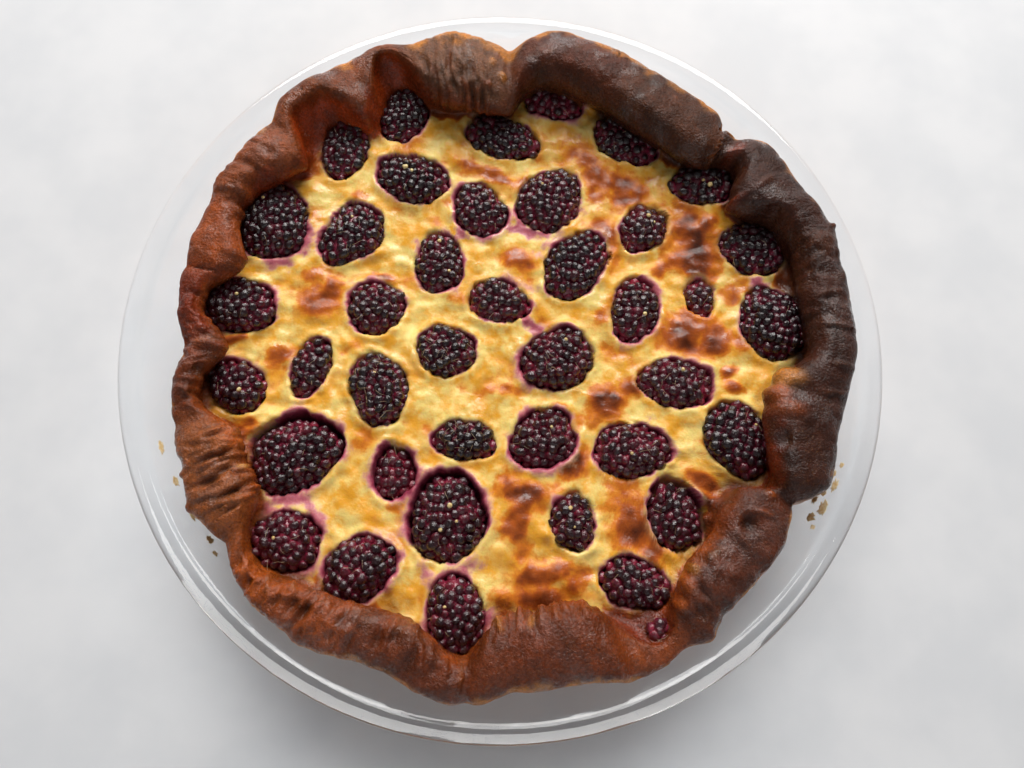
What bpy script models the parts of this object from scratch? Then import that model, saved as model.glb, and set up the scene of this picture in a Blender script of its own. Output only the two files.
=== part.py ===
"""Berry clafoutis baked in a round clear glass pie dish.

The clafoutis is one solid: a custard disc whose edge has puffed up and rolled inwards as a
browned crust. Every berry is its own solid, sunk in a pocket of the custard. The dish is a
turned glass shell. Lengths are metres, +Z is up, and the origin is the middle of the dish's
underside. Angles run anticlockwise from +X, seen from above.
"""

import math
from collections import namedtuple

import bmesh
import bpy
import numpy as np
from mathutils import Matrix, Vector

MM = 0.001

# Glass dish
RIM_RADIUS = 130 * MM
RIM_HEIGHT = 38 * MM
RIM_WIDTH = 6.5 * MM
GLASS = 4 * MM
BASE_RADIUS = 94 * MM
WALL_FOOT_RADIUS = 98.5 * MM
WALL_LEAN = 0.73
DISH_STEPS = 48

# Clafoutis
GLASS_GAP = 0.6 * MM
CUSTARD_LEVEL = 27.5 * MM
CUSTARD_WAVE = 0.9 * MM
EDGE_RISE = 2 * MM
CRUST_FOOT_BAND = 9 * MM
NOSE_SHARE = 0.55
CREST_SHARE = 0.46
SHOULDER_SHARE = 0.58
CREASE_HALF_WIDTH = 3.2
CUSTARD_RINGS = 8
CRUST_RINGS = 10

# Berries
BERRY_BELOW = 0.43
BERRY_ABOVE = 0.27
BERRY_SINK = 1.6 * MM
POCKET_GAP = 0.5 * MM
DRUPELET_RISE = 0.14
DRUPELETS_FROM = 0.36

# One swelling of the rolled crust, from the end of the one before to end, in degrees. Radii and
# heights are millimetres: outer is its outermost edge, nose its innermost edge in the air, foot
# where it meets the custard and crest its top. crease is how far the roll pinches in at its end.
Puff = namedtuple("Puff", "end outer nose foot crest crease")
PUFFS = (
    Puff(22, 119.5, 103.5, 105, 46, 1.0),
    Puff(43.5, 120, 98, 101, 46, 6.0),
    Puff(68, 116, 92.5, 97, 47, 0.3),
    Puff(91, 118, 95, 99, 48, 5.0),
    Puff(110.5, 120, 87.5, 93, 46, 1.2),
    Puff(121, 120, 108, 99, 45, 1.5),
    Puff(139, 119.5, 108, 100, 45, 2.0),
    Puff(156, 116.5, 96.5, 101, 45, 1.5),
    Puff(170, 114, 98, 102, 43, 1.5),
    Puff(184, 111, 102, 104, 42, 2.2),
    Puff(199, 110.5, 101, 103, 42, 2.6),
    Puff(221, 114.5, 93.5, 95, 43, 2.6),
    Puff(232, 117, 107, 106, 40, 1.2),
    Puff(246, 118, 103, 103, 42, 1.2),
    Puff(267, 117, 97, 99, 44, 5.0),
    Puff(293, 117, 89.5, 93, 44.5, 4.0),
    Puff(303.5, 118, 112, 103, 36, 2.0),
    Puff(318.5, 116, 95.5, 98, 43, 1.5),
    Puff(331, 112.5, 84, 86, 43, 6.0),
    Puff(350, 117, 95, 98, 46, 1.5),
)

# One berry: its middle, its length and width as seen from above, in millimetres, the turn of
# its long axis in degrees, and how much deeper than most it has sunk.
Berry = namedtuple("Berry", "x y length width turn deeper")
BERRIES = (
    Berry(-62, 74, 26.5, 18, 83, 0),
    Berry(-41, 89, 25, 18.5, 82, 0),
    Berry(-4, 82, 30, 18, -14, 0),
    Berry(15.5, 98, 23.5, 16, -5, 0),
    Berry(42.5, 82, 29, 17, -33, 0),
    Berry(71.5, 65.5, 24, 19, 12, 0),
    Berry(-85, 42, 30, 26, 100, 0),
    Berry(-56.5, 39.5, 27, 21, 40, 0),
    Berry(-36, 62.5, 27.5, 19.5, -12, 0),
    Berry(-10.5, 51.5, 22.5, 20, -50, 0),
    Berry(15, 56.5, 27, 24, 62, 0),
    Berry(-24, 30, 24, 18.5, 92, 0),
    Berry(25, 31, 30, 20.5, 54, 0),
    Berry(49.5, 46.5, 21, 17, 40, 0),
    Berry(89.5, 40, 24, 21.5, -12, 0),
    Berry(70, 21, 16, 12.5, 100, 0.5),
    Berry(95.5, 11.5, 27.5, 25, 105, 0),
    Berry(46.5, 15, 25.5, 18, 85, 0),
    Berry(-2, 16, 24.5, 16, -8, 0),
    Berry(-45.5, 11.5, 22, 20, 120, 0),
    Berry(-93.5, 9.5, 27, 21, -8, 0),
    Berry(-19.5, -3.5, 22.5, 19, -20, 0),
    Berry(19.5, -4.5, 26.5, 23, 15, 0),
    Berry(61, -12, 28.5, 17.5, -4, 0),
    Berry(-66, -11.5, 24, 14, 78, 0),
    Berry(-42, -18.5, 26.5, 21, 112, 0),
    Berry(-90.5, -19.5, 23.5, 18, -32, 0),
    Berry(-11.5, -35, 23, 15, -5, 0),
    Berry(15.5, -33.5, 24, 21, 48, 0.5),
    Berry(45.5, -36, 26.5, 20, 3, 0),
    Berry(81.5, -31, 29, 21.5, 113, 0),
    Berry(-68, -43, 30.5, 26, 24, 1.5),
    Berry(-34.5, -47.5, 19, 14.5, 100, 2.0),
    Berry(-15.5, -62, 30, 25, 98, 0.8),
    Berry(26, -61, 20.5, 16, 95, 0),
    Berry(60, -58, 24, 18, 112, 0),
    Berry(46.5, -80, 24, 17, -10, 0),
    Berry(-67.5, -71.5, 24, 20.5, -4, 0),
    Berry(-43, -79.5, 25.5, 21.5, 35, 0),
    Berry(-11, -92.5, 26, 20, 96, 0),
    Berry(53.5, -94, 10, 8, 65, -3.5),
)


def wall_radius(height):
    """Radius of the dish's inner wall at a height."""
    return WALL_FOOT_RADIUS + WALL_LEAN * (height - GLASS)


def blend(low, high, share):
    """A value between low and high, eased at both ends."""
    share = min(max(share, 0.0), 1.0)
    return low + (high - low) * share * share * (3 - 2 * share)


def around(radius, angle, height):
    """The point at a radius, an angle in degrees and a height."""
    angle = math.radians(angle)
    return Vector((radius * math.cos(angle), radius * math.sin(angle), height))


def crust_at(angle):
    """Outer, nose, foot and crest of the crust at an angle, in metres.

    Neighbouring swellings blend into each other, and pinch in where they meet.
    """
    angle = (angle - PUFFS[-1].end) % 360 + PUFFS[-1].end
    ends = [PUFFS[-1].end] + [puff.end + 360 for puff in PUFFS]
    place = next(i for i in range(len(PUFFS)) if angle <= ends[i + 1] + 1e-9)
    here, before, after = PUFFS[place], PUFFS[place - 1], PUFFS[(place + 1) % len(PUFFS)]
    from_start, to_end = angle - ends[place], ends[place + 1] - angle
    if from_start < to_end:
        other, crease, distance = before, before.crease, from_start
    else:
        other, crease, distance = after, here.crease, to_end
    reach = min(CREASE_HALF_WIDTH * 1.6, (from_start + to_end) / 2)
    share = blend(0.5, 1.0, distance / reach)
    pinch = crease * blend(1.0, 0.0, distance / min(CREASE_HALF_WIDTH, reach))
    outer = other.outer + (here.outer - other.outer) * share - pinch
    nose = other.nose + (here.nose - other.nose) * share + pinch
    foot = other.foot + (here.foot - other.foot) * share + pinch * 0.5
    crest = other.crest + (here.crest - other.crest) * share - pinch * 0.8
    return outer * MM, min(nose, outer - 5) * MM, foot * MM, crest * MM


def custard_level(x, y):
    """Height of the custard's surface, which waves a little between the berries."""
    wave = math.sin(x / (17 * MM) + 0.6) * math.sin(y / (14 * MM) - 0.4)
    rise = min(1.0, math.hypot(x, y) / (95 * MM)) ** 3
    return CUSTARD_LEVEL + CUSTARD_WAVE * wave + EDGE_RISE * rise


def through(points, share):
    """A point on the smooth curve through a row of points, share of the way along it."""
    last = len(points) - 1
    place = min(int(share * last), last - 1)
    t = share * last - place
    before, a, b, after = (
        np.array(points[min(max(place + k, 0), last)]) for k in (-1, 0, 1, 2)
    )
    return (
        a * (2 * t**3 - 3 * t**2 + 1)
        + (b - before) / 2 * (t**3 - 2 * t**2 + t)
        + b * (3 * t**2 - 2 * t**3)
        + (after - a) / 2 * (t**3 - t**2)
    )


def crust_section(angle):
    """The crust's section at an angle, as (radius, height) from the custard out, over and down."""
    outer, nose, foot, crest = crust_at(angle)
    start = around(foot - CRUST_FOOT_BAND, angle, 0)
    level = custard_level(start.x, start.y)
    rise = crest - level
    crest_radius = nose + (outer - nose) * CREST_SHARE
    shoulder = level + rise * SHOULDER_SHARE
    outer = min(outer, wall_radius(shoulder) - GLASS_GAP)
    lift_off = outer - 1 * MM
    lift_off_height = GLASS + (lift_off + GLASS_GAP - WALL_FOOT_RADIUS) / WALL_LEAN
    lift_off_height = min(lift_off_height, shoulder - 3 * MM)
    lift_off = min(lift_off, wall_radius(lift_off_height) - GLASS_GAP)
    low = GLASS + 6 * MM
    low_radius = wall_radius(low) - GLASS_GAP
    return (
        (foot - CRUST_FOOT_BAND, level),
        (foot, level - 0.5 * MM),
        (nose, level + rise * NOSE_SHARE),
        (nose + (crest_radius - nose) * 0.45, level + rise * 0.93),
        (crest_radius, crest),
        (outer - (outer - crest_radius) * 0.28, level + rise * 0.88),
        (outer, shoulder),
        (lift_off, lift_off_height),
        ((lift_off + low_radius) / 2, (lift_off_height + low) / 2),
        (low_radius, low),
        (BASE_RADIUS - 1 * MM, GLASS + GLASS_GAP),
    )


def lay_on_disc(i, j):
    """Ring number and angle of a square grid's point (i, j), laid as concentric rings."""
    ring = max(abs(i), abs(j))
    if ring == 0:
        return 0, 0.0
    if abs(i) >= abs(j):
        return ring, 45 * j / i + (180 if i < 0 else 0)
    return ring, 90 - 45 * i / j + (180 if j < 0 else 0)


def clafoutis_point(ring, angle):
    """Place of a ring's point on the clafoutis, from the middle of its top to its base."""
    section = crust_section(angle)
    if ring <= CUSTARD_RINGS:
        point = around(section[0][0] * ring / CUSTARD_RINGS, angle, 0)
        point.z = custard_level(point.x, point.y)
        return point
    radius, height = through(section, (ring - CUSTARD_RINGS) / CRUST_RINGS)
    height = max(height, GLASS + GLASS_GAP)
    return around(min(radius, wall_radius(height) - GLASS_GAP), angle, height)


def material(name, colour, roughness, transmission=0.0):
    """A Principled material of one colour."""
    made = bpy.data.materials.new(name)
    made.use_nodes = True
    shader = made.node_tree.nodes["Principled BSDF"]
    shader.inputs["Base Color"].default_value = (*colour, 1.0)
    shader.inputs["Roughness"].default_value = roughness
    shader.inputs["Transmission Weight"].default_value = transmission
    made.diffuse_color = (*colour, 1.0)
    return made


def new_object(name, mesh, collection, finish=None):
    """A named object in a collection, shaded smooth."""
    thing = bpy.data.objects.new(name, mesh)
    collection.objects.link(thing)
    mesh.shade_smooth()
    if finish:
        mesh.materials.append(finish)
    return thing


def add_dish(collection, finish):
    """Turned dish: a flat base, a leaning wall and a thick rounded rim."""
    rim_inner = RIM_RADIUS - RIM_WIDTH
    fillet_top = GLASS + 1.6 * MM
    wall_top = RIM_HEIGHT - 4 * MM
    outline = (
        (0, GLASS),
        (WALL_FOOT_RADIUS - 4 * MM, GLASS),
        (wall_radius(fillet_top), fillet_top),
        (wall_radius(wall_top), wall_top),
        (rim_inner, RIM_HEIGHT - 0.8 * MM),
        (rim_inner + 2.2 * MM, RIM_HEIGHT),
        (RIM_RADIUS - 1.4 * MM, RIM_HEIGHT - 0.5 * MM),
        (RIM_RADIUS, RIM_HEIGHT - 2.2 * MM),
        (RIM_RADIUS - 0.8 * MM, RIM_HEIGHT - 4.4 * MM),
        (wall_radius(wall_top) + GLASS, RIM_HEIGHT - 6 * MM),
        (WALL_FOOT_RADIUS + 5 * MM, 3.2 * MM),
        (WALL_FOOT_RADIUS + 1.5 * MM, 0.6 * MM),
        (BASE_RADIUS + 3 * MM, 0),
        (0, 0),
    )
    profile = bmesh.new()
    points = [profile.verts.new((radius, 0, height)) for radius, height in outline]
    for a, b in zip(points, points[1:]):
        profile.edges.new((a, b))
    mesh = bpy.data.meshes.new("glass_dish")
    profile.to_mesh(mesh)
    profile.free()
    dish = new_object("glass_dish", mesh, collection, finish)
    turn = dish.modifiers.new("turn", "SCREW")
    turn.steps = DISH_STEPS
    turn.render_steps = DISH_STEPS
    turn.use_merge_vertices = True
    turn.merge_threshold = 0.02 * MM


def berry_mesh(name, berry, gap=0.0):
    """An ellipsoid lying on its side, flatter above, its upper faces raised as drupelets.

    With a gap it is the plain pocket around the berry, roomier above for the drupelets.
    """
    blob = bmesh.new()
    bmesh.ops.create_icosphere(blob, subdivisions=2, radius=1.0)
    if gap:
        for vert in blob.verts:
            vert.co *= 1 + DRUPELET_RISE if vert.co.z > 0.1 else 1
    else:
        upper = [face for face in blob.faces if face.calc_center_median().z > DRUPELETS_FROM]
        bmesh.ops.poke(blob, faces=upper, offset=DRUPELET_RISE)
    half = Vector((berry.length / 2, berry.width / 2, berry.width * BERRY_BELOW)) * MM
    turned = Matrix.Rotation(math.radians(berry.turn), 3, "Z")
    above = [vert for vert in blob.verts if vert.co.z > 0]
    bmesh.ops.scale(blob, vec=(1, 1, BERRY_ABOVE / BERRY_BELOW), verts=above)
    bmesh.ops.scale(blob, vec=half + Vector((gap, gap, gap)), verts=blob.verts)
    bmesh.ops.rotate(blob, matrix=turned, verts=blob.verts)
    mesh = bpy.data.meshes.new(name)
    blob.to_mesh(mesh)
    blob.free()
    return mesh


def add_berry(number, berry, parts, cutters, finish):
    """A berry, and the cutter that makes room for it in the custard."""
    x, y = berry.x * MM, berry.y * MM
    place = Vector((x, y, custard_level(x, y) - BERRY_SINK - berry.deeper * MM))
    name = f"berry_{number:02d}"
    made = new_object(name, berry_mesh(name, berry), parts, finish)
    made.location = place
    name = f"pocket_{number:02d}"
    pocket = new_object(name, berry_mesh(name, berry, POCKET_GAP), cutters)
    pocket.location = place
    pocket.hide_render = True
    pocket.display_type = "WIRE"


def add_clafoutis(collection, cutters, finish):
    """The custard and its rolled crust, one solid, with a pocket for each berry."""
    half = CUSTARD_RINGS + CRUST_RINGS
    body = bmesh.new()
    bmesh.ops.create_grid(body, x_segments=2 * half, y_segments=2 * half, size=half)
    underside = [edge for edge in body.edges if edge.is_boundary]
    bmesh.ops.contextual_create(body, geom=underside)
    for vert in body.verts:
        vert.co = clafoutis_point(*lay_on_disc(round(vert.co.x), round(vert.co.y)))
    bmesh.ops.recalc_face_normals(body, faces=body.faces)
    mesh = bpy.data.meshes.new("clafoutis")
    body.to_mesh(mesh)
    body.free()
    made = new_object("clafoutis", mesh, collection, finish)
    pockets = made.modifiers.new("pockets", "BOOLEAN")
    pockets.operation = "DIFFERENCE"
    pockets.operand_type = "COLLECTION"
    pockets.collection = cutters


def clear_scene():
    """Removes whatever objects the file opened with."""
    for thing in list(bpy.data.objects):
        bpy.data.objects.remove(thing)


def main():
    """Builds the dish, the berries and the clafoutis."""
    clear_scene()
    parts = bpy.data.collections.new("berry_clafoutis")
    cutters = bpy.data.collections.new("berry_pockets")
    for collection in (parts, cutters):
        bpy.context.scene.collection.children.link(collection)
    add_dish(parts, material("clear_glass", (0.86, 0.9, 0.92), 0.05, 0.95))
    fruit = material("dark_berry", (0.045, 0.008, 0.022), 0.3)
    for number, berry in enumerate(BERRIES, 1):
        add_berry(number, berry, parts, cutters, fruit)
    add_clafoutis(parts, cutters, material("baked_custard", (0.5, 0.24, 0.06), 0.45))


main()
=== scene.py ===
"""Berry clafoutis in its round glass pie dish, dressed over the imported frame.

The custard and its rolled crust are one skin, laid out as rings and pushed about by vertex moves.
Every berry is a core covered with beads. Lengths in the tables are millimetres and angles are
degrees anticlockwise from +X, seen from above; meshes are in metres with +Z up.
"""

from __future__ import annotations

import logging
import math
from collections.abc import Sequence
from dataclasses import dataclass
from enum import Enum

import bmesh
import bpy
import numpy as np
from mathutils import Matrix, Vector, noise

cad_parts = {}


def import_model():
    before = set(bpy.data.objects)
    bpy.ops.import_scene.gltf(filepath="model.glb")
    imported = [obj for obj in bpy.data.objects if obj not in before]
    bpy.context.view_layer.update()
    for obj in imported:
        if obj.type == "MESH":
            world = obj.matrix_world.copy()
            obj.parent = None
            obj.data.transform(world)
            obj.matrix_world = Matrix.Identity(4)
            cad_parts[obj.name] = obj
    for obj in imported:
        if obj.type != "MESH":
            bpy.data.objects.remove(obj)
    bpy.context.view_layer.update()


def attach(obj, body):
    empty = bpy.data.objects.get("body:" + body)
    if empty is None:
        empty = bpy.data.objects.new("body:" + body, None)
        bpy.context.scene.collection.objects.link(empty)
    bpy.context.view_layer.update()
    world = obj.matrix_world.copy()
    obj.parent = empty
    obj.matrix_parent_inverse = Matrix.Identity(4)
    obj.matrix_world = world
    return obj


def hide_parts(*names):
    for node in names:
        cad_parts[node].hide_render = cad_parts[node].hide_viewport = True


LOG = logging.getLogger("clafoutis")
MM = 0.001
# Without a seed of its own, noise_vector takes its offsets from the clock
NOISE_SEED = 7

# The dish, the level of the custard, how far berries reach, and the top of the crust, in millimetres
WALL_FOOT_RADIUS = 98.5
WALL_LEAN = 0.73
GLASS = 4.0
GLASS_GAP = 0.6
CUSTARD_LEVEL = 27.5
CUSTARD_WAVE = 0.9
EDGE_RISE = 2.0
BERRY_BELOW = 0.43
BERRY_ABOVE = 0.27
BERRY_SINK = 1.6
CRUST_TOP = 48.0
BASE_RADIUS = 94.0

# Places along the crust's section: where it reaches the glass, and its last point
GLASS_PLACE = 7
LAST_PLACE = 10


def linear(code: str) -> tuple[float, float, float]:
    """The linear colour of a hex code as a paint chart gives it."""
    parts = [int(code[k : k + 2], 16) / 255 for k in (0, 2, 4)]
    return tuple(c / 12.92 if c <= 0.04045 else ((c + 0.055) / 1.055) ** 2.4 for c in parts)


class Bake(Enum):
    """Browns of the crust, from the oven's palest to its darkest."""

    BUTTER = "e6b45e"
    GOLD = "ba7428"
    AMBER = "934514"
    CARAMEL = "8a4a21"
    TOFFEE = "803b15"
    MILK = "6a4530"
    UMBER = "6f371a"
    CHESTNUT = "652c11"
    RUSSET = "6b250b"
    WALNUT = "562612"
    WINDOW = "8c3410"
    COCOA = "502812"
    COFFEE = "422013"
    BURNT = "3a1b10"

    @property
    def colour(self) -> tuple[float, float, float]:
        """Its linear colour."""
        return linear(self.value)


@dataclass(frozen=True)
class Puff:
    """One swelling of the rolled crust, from the end of the one before to its own end.

    nose is its innermost edge in the air, foot where it meets the custard, crest its top, and
    crease how far the roll pinches in at its end. inside, top and rim are its browns.
    """

    end: float
    nose: float
    foot: float
    crest: float
    crease: float
    inside: Bake
    top: Bake
    rim: Bake


PUFFS = tuple(Puff(*row) for row in (
    (22, 103.5, 105, 46, 1.0, Bake.COFFEE, Bake.BURNT, Bake.WALNUT),
    (43.5, 98, 101, 46, 6.0, Bake.COFFEE, Bake.BURNT, Bake.WALNUT),
    (68, 92.5, 97, 47, 0.3, Bake.COFFEE, Bake.COCOA, Bake.TOFFEE),
    (91, 95, 99, 48, 5.0, Bake.COCOA, Bake.WALNUT, Bake.TOFFEE),
    (110.5, 87.5, 93, 46, 1.2, Bake.CHESTNUT, Bake.MILK, Bake.UMBER),
    (121, 108, 99, 45, 1.5, Bake.WINDOW, Bake.UMBER, Bake.CHESTNUT),
    (139, 108, 100, 45, 2.0, Bake.WINDOW, Bake.UMBER, Bake.CHESTNUT),
    (156, 96.5, 101, 45, 1.5, Bake.RUSSET, Bake.UMBER, Bake.UMBER),
    (170, 98, 102, 43, 1.5, Bake.TOFFEE, Bake.TOFFEE, Bake.CHESTNUT),
    (184, 102, 104, 42, 2.2, Bake.TOFFEE, Bake.RUSSET, Bake.AMBER),
    (199, 101, 103, 42, 2.6, Bake.TOFFEE, Bake.CHESTNUT, Bake.GOLD),
    (221, 93.5, 95, 43, 2.6, Bake.AMBER, Bake.CARAMEL, Bake.TOFFEE),
    (232, 107, 106, 40, 1.2, Bake.AMBER, Bake.AMBER, Bake.GOLD),
    (246, 103, 103, 42, 1.2, Bake.TOFFEE, Bake.TOFFEE, Bake.GOLD),
    (267, 97, 99, 44, 5.0, Bake.TOFFEE, Bake.CHESTNUT, Bake.AMBER),
    (293, 89.5, 93, 44.5, 4.0, Bake.TOFFEE, Bake.CHESTNUT, Bake.AMBER),
    (303.5, 112, 103, 36, 2.0, Bake.RUSSET, Bake.TOFFEE, Bake.AMBER),
    (318.5, 95.5, 98, 43, 1.5, Bake.AMBER, Bake.WALNUT, Bake.UMBER),
    (331, 84, 86, 43, 6.0, Bake.CHESTNUT, Bake.WALNUT, Bake.CHESTNUT),
    (350, 95, 98, 46, 1.5, Bake.RUSSET, Bake.BURNT, Bake.COCOA),
))

# The crust's outline seen from above: pairs of an angle and a radius
OUTER_EDGE = (
    (0, 119.5), (10, 120.5), (18, 121.5), (21, 123), (23, 121.5), (30, 120.8), (40, 120),
    (42, 117), (45, 113), (47, 112), (48, 114), (50, 115.5), (60, 116), (65, 117), (70, 118.5),
    (75, 119), (82, 121.3), (85, 119), (88, 116), (91.5, 113), (93, 114.5), (95, 117),
    (100, 121), (102, 122.3), (107, 120), (110, 119.5), (115, 121.5), (135, 121.5), (138, 118),
    (143, 117), (153, 116.5), (157, 114), (165, 114.5), (169, 112.5), (172, 113), (176, 111.5),
    (180, 110.5), (183, 108), (187, 107.5), (190, 110), (195, 112), (199, 112.5), (203, 114),
    (206, 113), (210, 115), (213, 116), (217, 114.5), (221, 112.5), (225, 116), (230, 118),
    (235, 117.5), (240, 118.5), (244, 117), (250, 114.5), (255, 114.5), (260, 118),
    (265, 119.5), (270, 118.5), (274, 114.5), (280, 114.5), (285, 115), (290, 117),
    (293, 119.5), (298, 119.5), (302, 117), (306, 119.5), (308, 116), (313, 115), (320, 115),
    (325, 114), (330, 112), (331, 110.5), (333, 114), (336, 117.8), (340, 117), (345, 115.5),
    (350, 117.5), (355, 118.5),
)
INNER_EDGE = (
    (0, 104), (10, 103), (20, 107), (27, 105), (30, 96), (33, 93), (36, 98), (38, 104),
    (41, 107), (45, 95), (50, 92), (60, 92), (65, 93), (70, 95), (80, 99), (85, 99), (88, 95),
    (90, 86), (95, 86), (100, 87), (105, 91), (109, 97), (112, 112), (114.5, 115.5),
    (117, 114), (118.5, 104), (123, 96), (126, 104), (128, 111.5), (135, 112), (137, 105),
    (140, 94), (145, 98), (150, 102), (155, 104), (160, 100), (165, 93), (168, 93), (172, 102),
    (177, 104), (180, 98), (184, 93), (187, 95), (190, 101), (195, 103), (199, 98), (203, 93),
    (213, 93), (217, 94), (220, 101), (223, 106), (228, 110), (232, 105), (240, 101),
    (250, 97), (255, 96), (260, 100), (265, 106), (267, 106), (270, 94), (275, 89.5),
    (285, 89.5), (290, 92), (294, 102), (298, 111), (301, 110), (303, 104), (305, 101),
    (310, 96), (319, 94), (322, 92), (328, 92), (330, 94), (331.5, 104), (334, 100),
    (340, 93), (344, 90), (348, 91), (352, 93), (355, 97), (358, 103),
)


@dataclass(frozen=True)
class Mark:
    """A knob, pit, fold or blister at an angle and radius.

    length runs outwards from the middle and width round it, until turn turns it. rise is its
    height in millimetres, below nought for a pit, and bake its brown, laid on by strength.
    """

    angle: float
    radius: float
    length: float
    width: float
    rise: float
    turn: float = 0.0
    bake: Bake | None = None
    strength: float = 0.8
    gloss: float = 0.0


# Pits, cracks and hollows (rise below nought) mostly take darker browns: partly the crust's own colour
# there and partly painted shade in the hollow.
MARKS = tuple(Mark(*row) for row in (
    (33, 106, 9, 1.8, 1.0, 8, Bake.WALNUT, 0.5), (33, 95, 7, 2.6, 1.6, 0, Bake.RUSSET, 0.6),
    (15, 114, 1.5, 1.5, 1.1), (18.5, 115, 8, 8, 0.9, 0, Bake.COCOA, 0.5),
    (21, 121, 2.4, 2.0, 1.2, 0, Bake.COCOA, 0.5), (9, 111, 9, 2.0, 0.7, 6, Bake.COCOA, 0.4),
    (3, 112, 9, 1.6, 0.7, -5, Bake.COCOA, 0.4), (27, 104, 6, 4, -1.3, 0, Bake.BURNT, 0.5),
    (42, 108, 8, 4, -0.8, 10, Bake.RUSSET, 0.9), (44.5, 103, 8, 1.3, 1.3, 16, Bake.CARAMEL, 0.7, 0.4),
    (46.6, 111, 4.5, 1.6, -2.6, 0, Bake.RUSSET, 0.8), (70.5, 114.5, 5, 0.9, -1.4, 6, Bake.BURNT, 0.7),
    (57, 107, 2.2, 1.6, 0.8, 30, Bake.UMBER, 0.5, 0.4), (78, 111, 2, 1.6, 0.9, 0, Bake.MILK, 0.5),
    (83, 107, 2.2, 2, 1.0, 0, Bake.MILK, 0.5), (92.5, 97, 4, 2.6, 1.5, 15, Bake.GOLD, 0.55, 0.8),
    (94.6, 103, 3.4, 2.4, 1.4, -20, Bake.GOLD, 0.5, 0.8),
    (93.6, 106.5, 2.4, 2.0, 1.0, 30, Bake.AMBER, 0.5, 0.6),
    (95.8, 94, 3, 2, 1.1, 60, Bake.AMBER, 0.5, 0.6), (98.5, 100, 6, 1.5, -0.9, 10, Bake.WALNUT, 0.5),
    (103, 106, 9, 1.6, -0.8, -12, Bake.UMBER, 0.5), (106.5, 101, 8, 1.6, -0.8, 8, Bake.CHESTNUT, 0.5),
    (101, 95, 5, 2.4, 0.9, 20, Bake.TOFFEE, 0.4), (123.5, 112, 1.3, 1.3, -1.3, 0, Bake.COCOA, 0.8),
    (131, 116.5, 1.1, 1.1, -1.1, 0, Bake.COCOA, 0.8),
    (135, 115.5, 2, 4, 0.5, 20, Bake.CARAMEL, 0.6, 0.4),
    (144, 112.5, 3.4, 0.8, -1.2, 10, Bake.COCOA, 0.8),
    (153, 105, 4.5, 2.4, 1.1, 25, Bake.AMBER, 0.7, 0.7),
    (156.5, 103, 4, 2.4, 1.1, -10, Bake.AMBER, 0.7, 0.7), (165.5, 97, 8, 3.4, 1.2, 0, Bake.TOFFEE, 0.5),
    (170, 105, 9, 0.9, -1.3, 0, Bake.WALNUT, 0.8), (184, 99, 9, 3.6, 1.6, 14, Bake.CARAMEL, 0.4, 0.5),
    (188, 100, 7, 1.4, -1.2, 12, Bake.WALNUT, 0.6), (212, 97, 3.4, 3.4, -1.0, 0, Bake.TOFFEE, 0.6),
    (211, 94.5, 2.6, 2.0, 0.9, 0, Bake.BUTTER, 0.3, 0.5),
    (207.5, 114, 2.2, 2.6, 1.2, 0, Bake.TOFFEE, 0.5), (213, 115.5, 2.2, 2.6, 1.0, 0, Bake.TOFFEE, 0.5),
    (231, 109.5, 7, 1.2, 1.0, 50, Bake.CARAMEL, 0.7, 0.5),
    (234.5, 105, 4, 1.1, 1.0, 60, Bake.CARAMEL, 0.7, 0.5), (240, 104, 5, 8, 0.5, 0, None, 0, 1.0),
    (248, 101, 5, 9, 0.8, 0, Bake.CARAMEL, 0.35, 1.2),
    (256, 100, 5, 10, 0.8, 0, Bake.CARAMEL, 0.35, 1.2), (210, 104, 12, 22, 0, 0, None, 0, 0.7),
    (315, 102, 6, 12, 0, 0, None, 0, 1.0), (83, 109, 8, 10, 0, 0, None, 0, 0.5),
    (342, 107, 14, 24, 0, 0, None, 0, -0.4), (57, 107, 16, 30, 0, 0, None, 0, -0.5),
    (5, 111, 7, 14, 0, 0, None, 0, 0.8), (262, 104, 5, 3, -0.9, 30, Bake.WALNUT, 0.4),
    (266, 109, 9, 1.3, 1.0, 0, Bake.CARAMEL, 0.5, 0.4), (276, 104, 11, 1.0, -1.0, 4, Bake.WALNUT, 0.6),
    (272, 94, 5, 1.6, 1.0, 20, Bake.GOLD, 0.5, 0.5), (278, 93, 5, 1.6, 1.0, -12, Bake.GOLD, 0.5, 0.5),
    (283, 93.5, 5, 1.6, 1.0, 14, Bake.AMBER, 0.5, 0.5),
    (288, 95, 4.5, 1.6, 1.0, 0, Bake.AMBER, 0.5, 0.5), (298, 105, 6, 7, -2.4, 0, Bake.WINDOW, 0.8),
    (294.5, 112, 6, 3, 0.9, 0, Bake.AMBER, 0.7, 0.5),
    (304.5, 105, 4.6, 3.4, 1.6, 10, Bake.AMBER, 0.9, 0.8),
    (307.5, 101, 4.2, 3.2, 1.5, -20, Bake.AMBER, 0.9, 0.8),
    (310, 98.5, 3.4, 2.6, 1.3, 20, Bake.GOLD, 0.7, 0.8),
    (314.5, 99, 2.4, 6, 0.9, 0, Bake.MILK, 0.6, 0.5), (323, 101, 5.5, 5.5, -2.8, 0, Bake.BURNT, 0.8),
    (326.2, 103, 6, 1.5, 1.3, 12, Bake.TOFFEE, 0.6, 0.4), (320, 103, 5, 1.5, 0.9, -14, Bake.UMBER, 0.5),
    (330, 102, 3, 2, 1.2, 0, Bake.AMBER, 1.0, 0.7), (340, 98, 4, 5.5, -1.8, 20, Bake.COFFEE, 0.6),
    (346, 97, 9, 5, 1.5, 14, Bake.TOFFEE, 0.7, 0.5), (349, 93, 7, 6, 2.4, 20, Bake.AMBER, 1.0, 1.0),
    (353, 95.5, 9, 7, 2.6, -10, Bake.GOLD, 0.8, 1.0), (356, 113, 9, 2.0, 0.8, 0, Bake.COCOA, 0.4),
    (351, 111, 9, 1.8, 0.7, 8, Bake.COCOA, 0.4),
))


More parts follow.
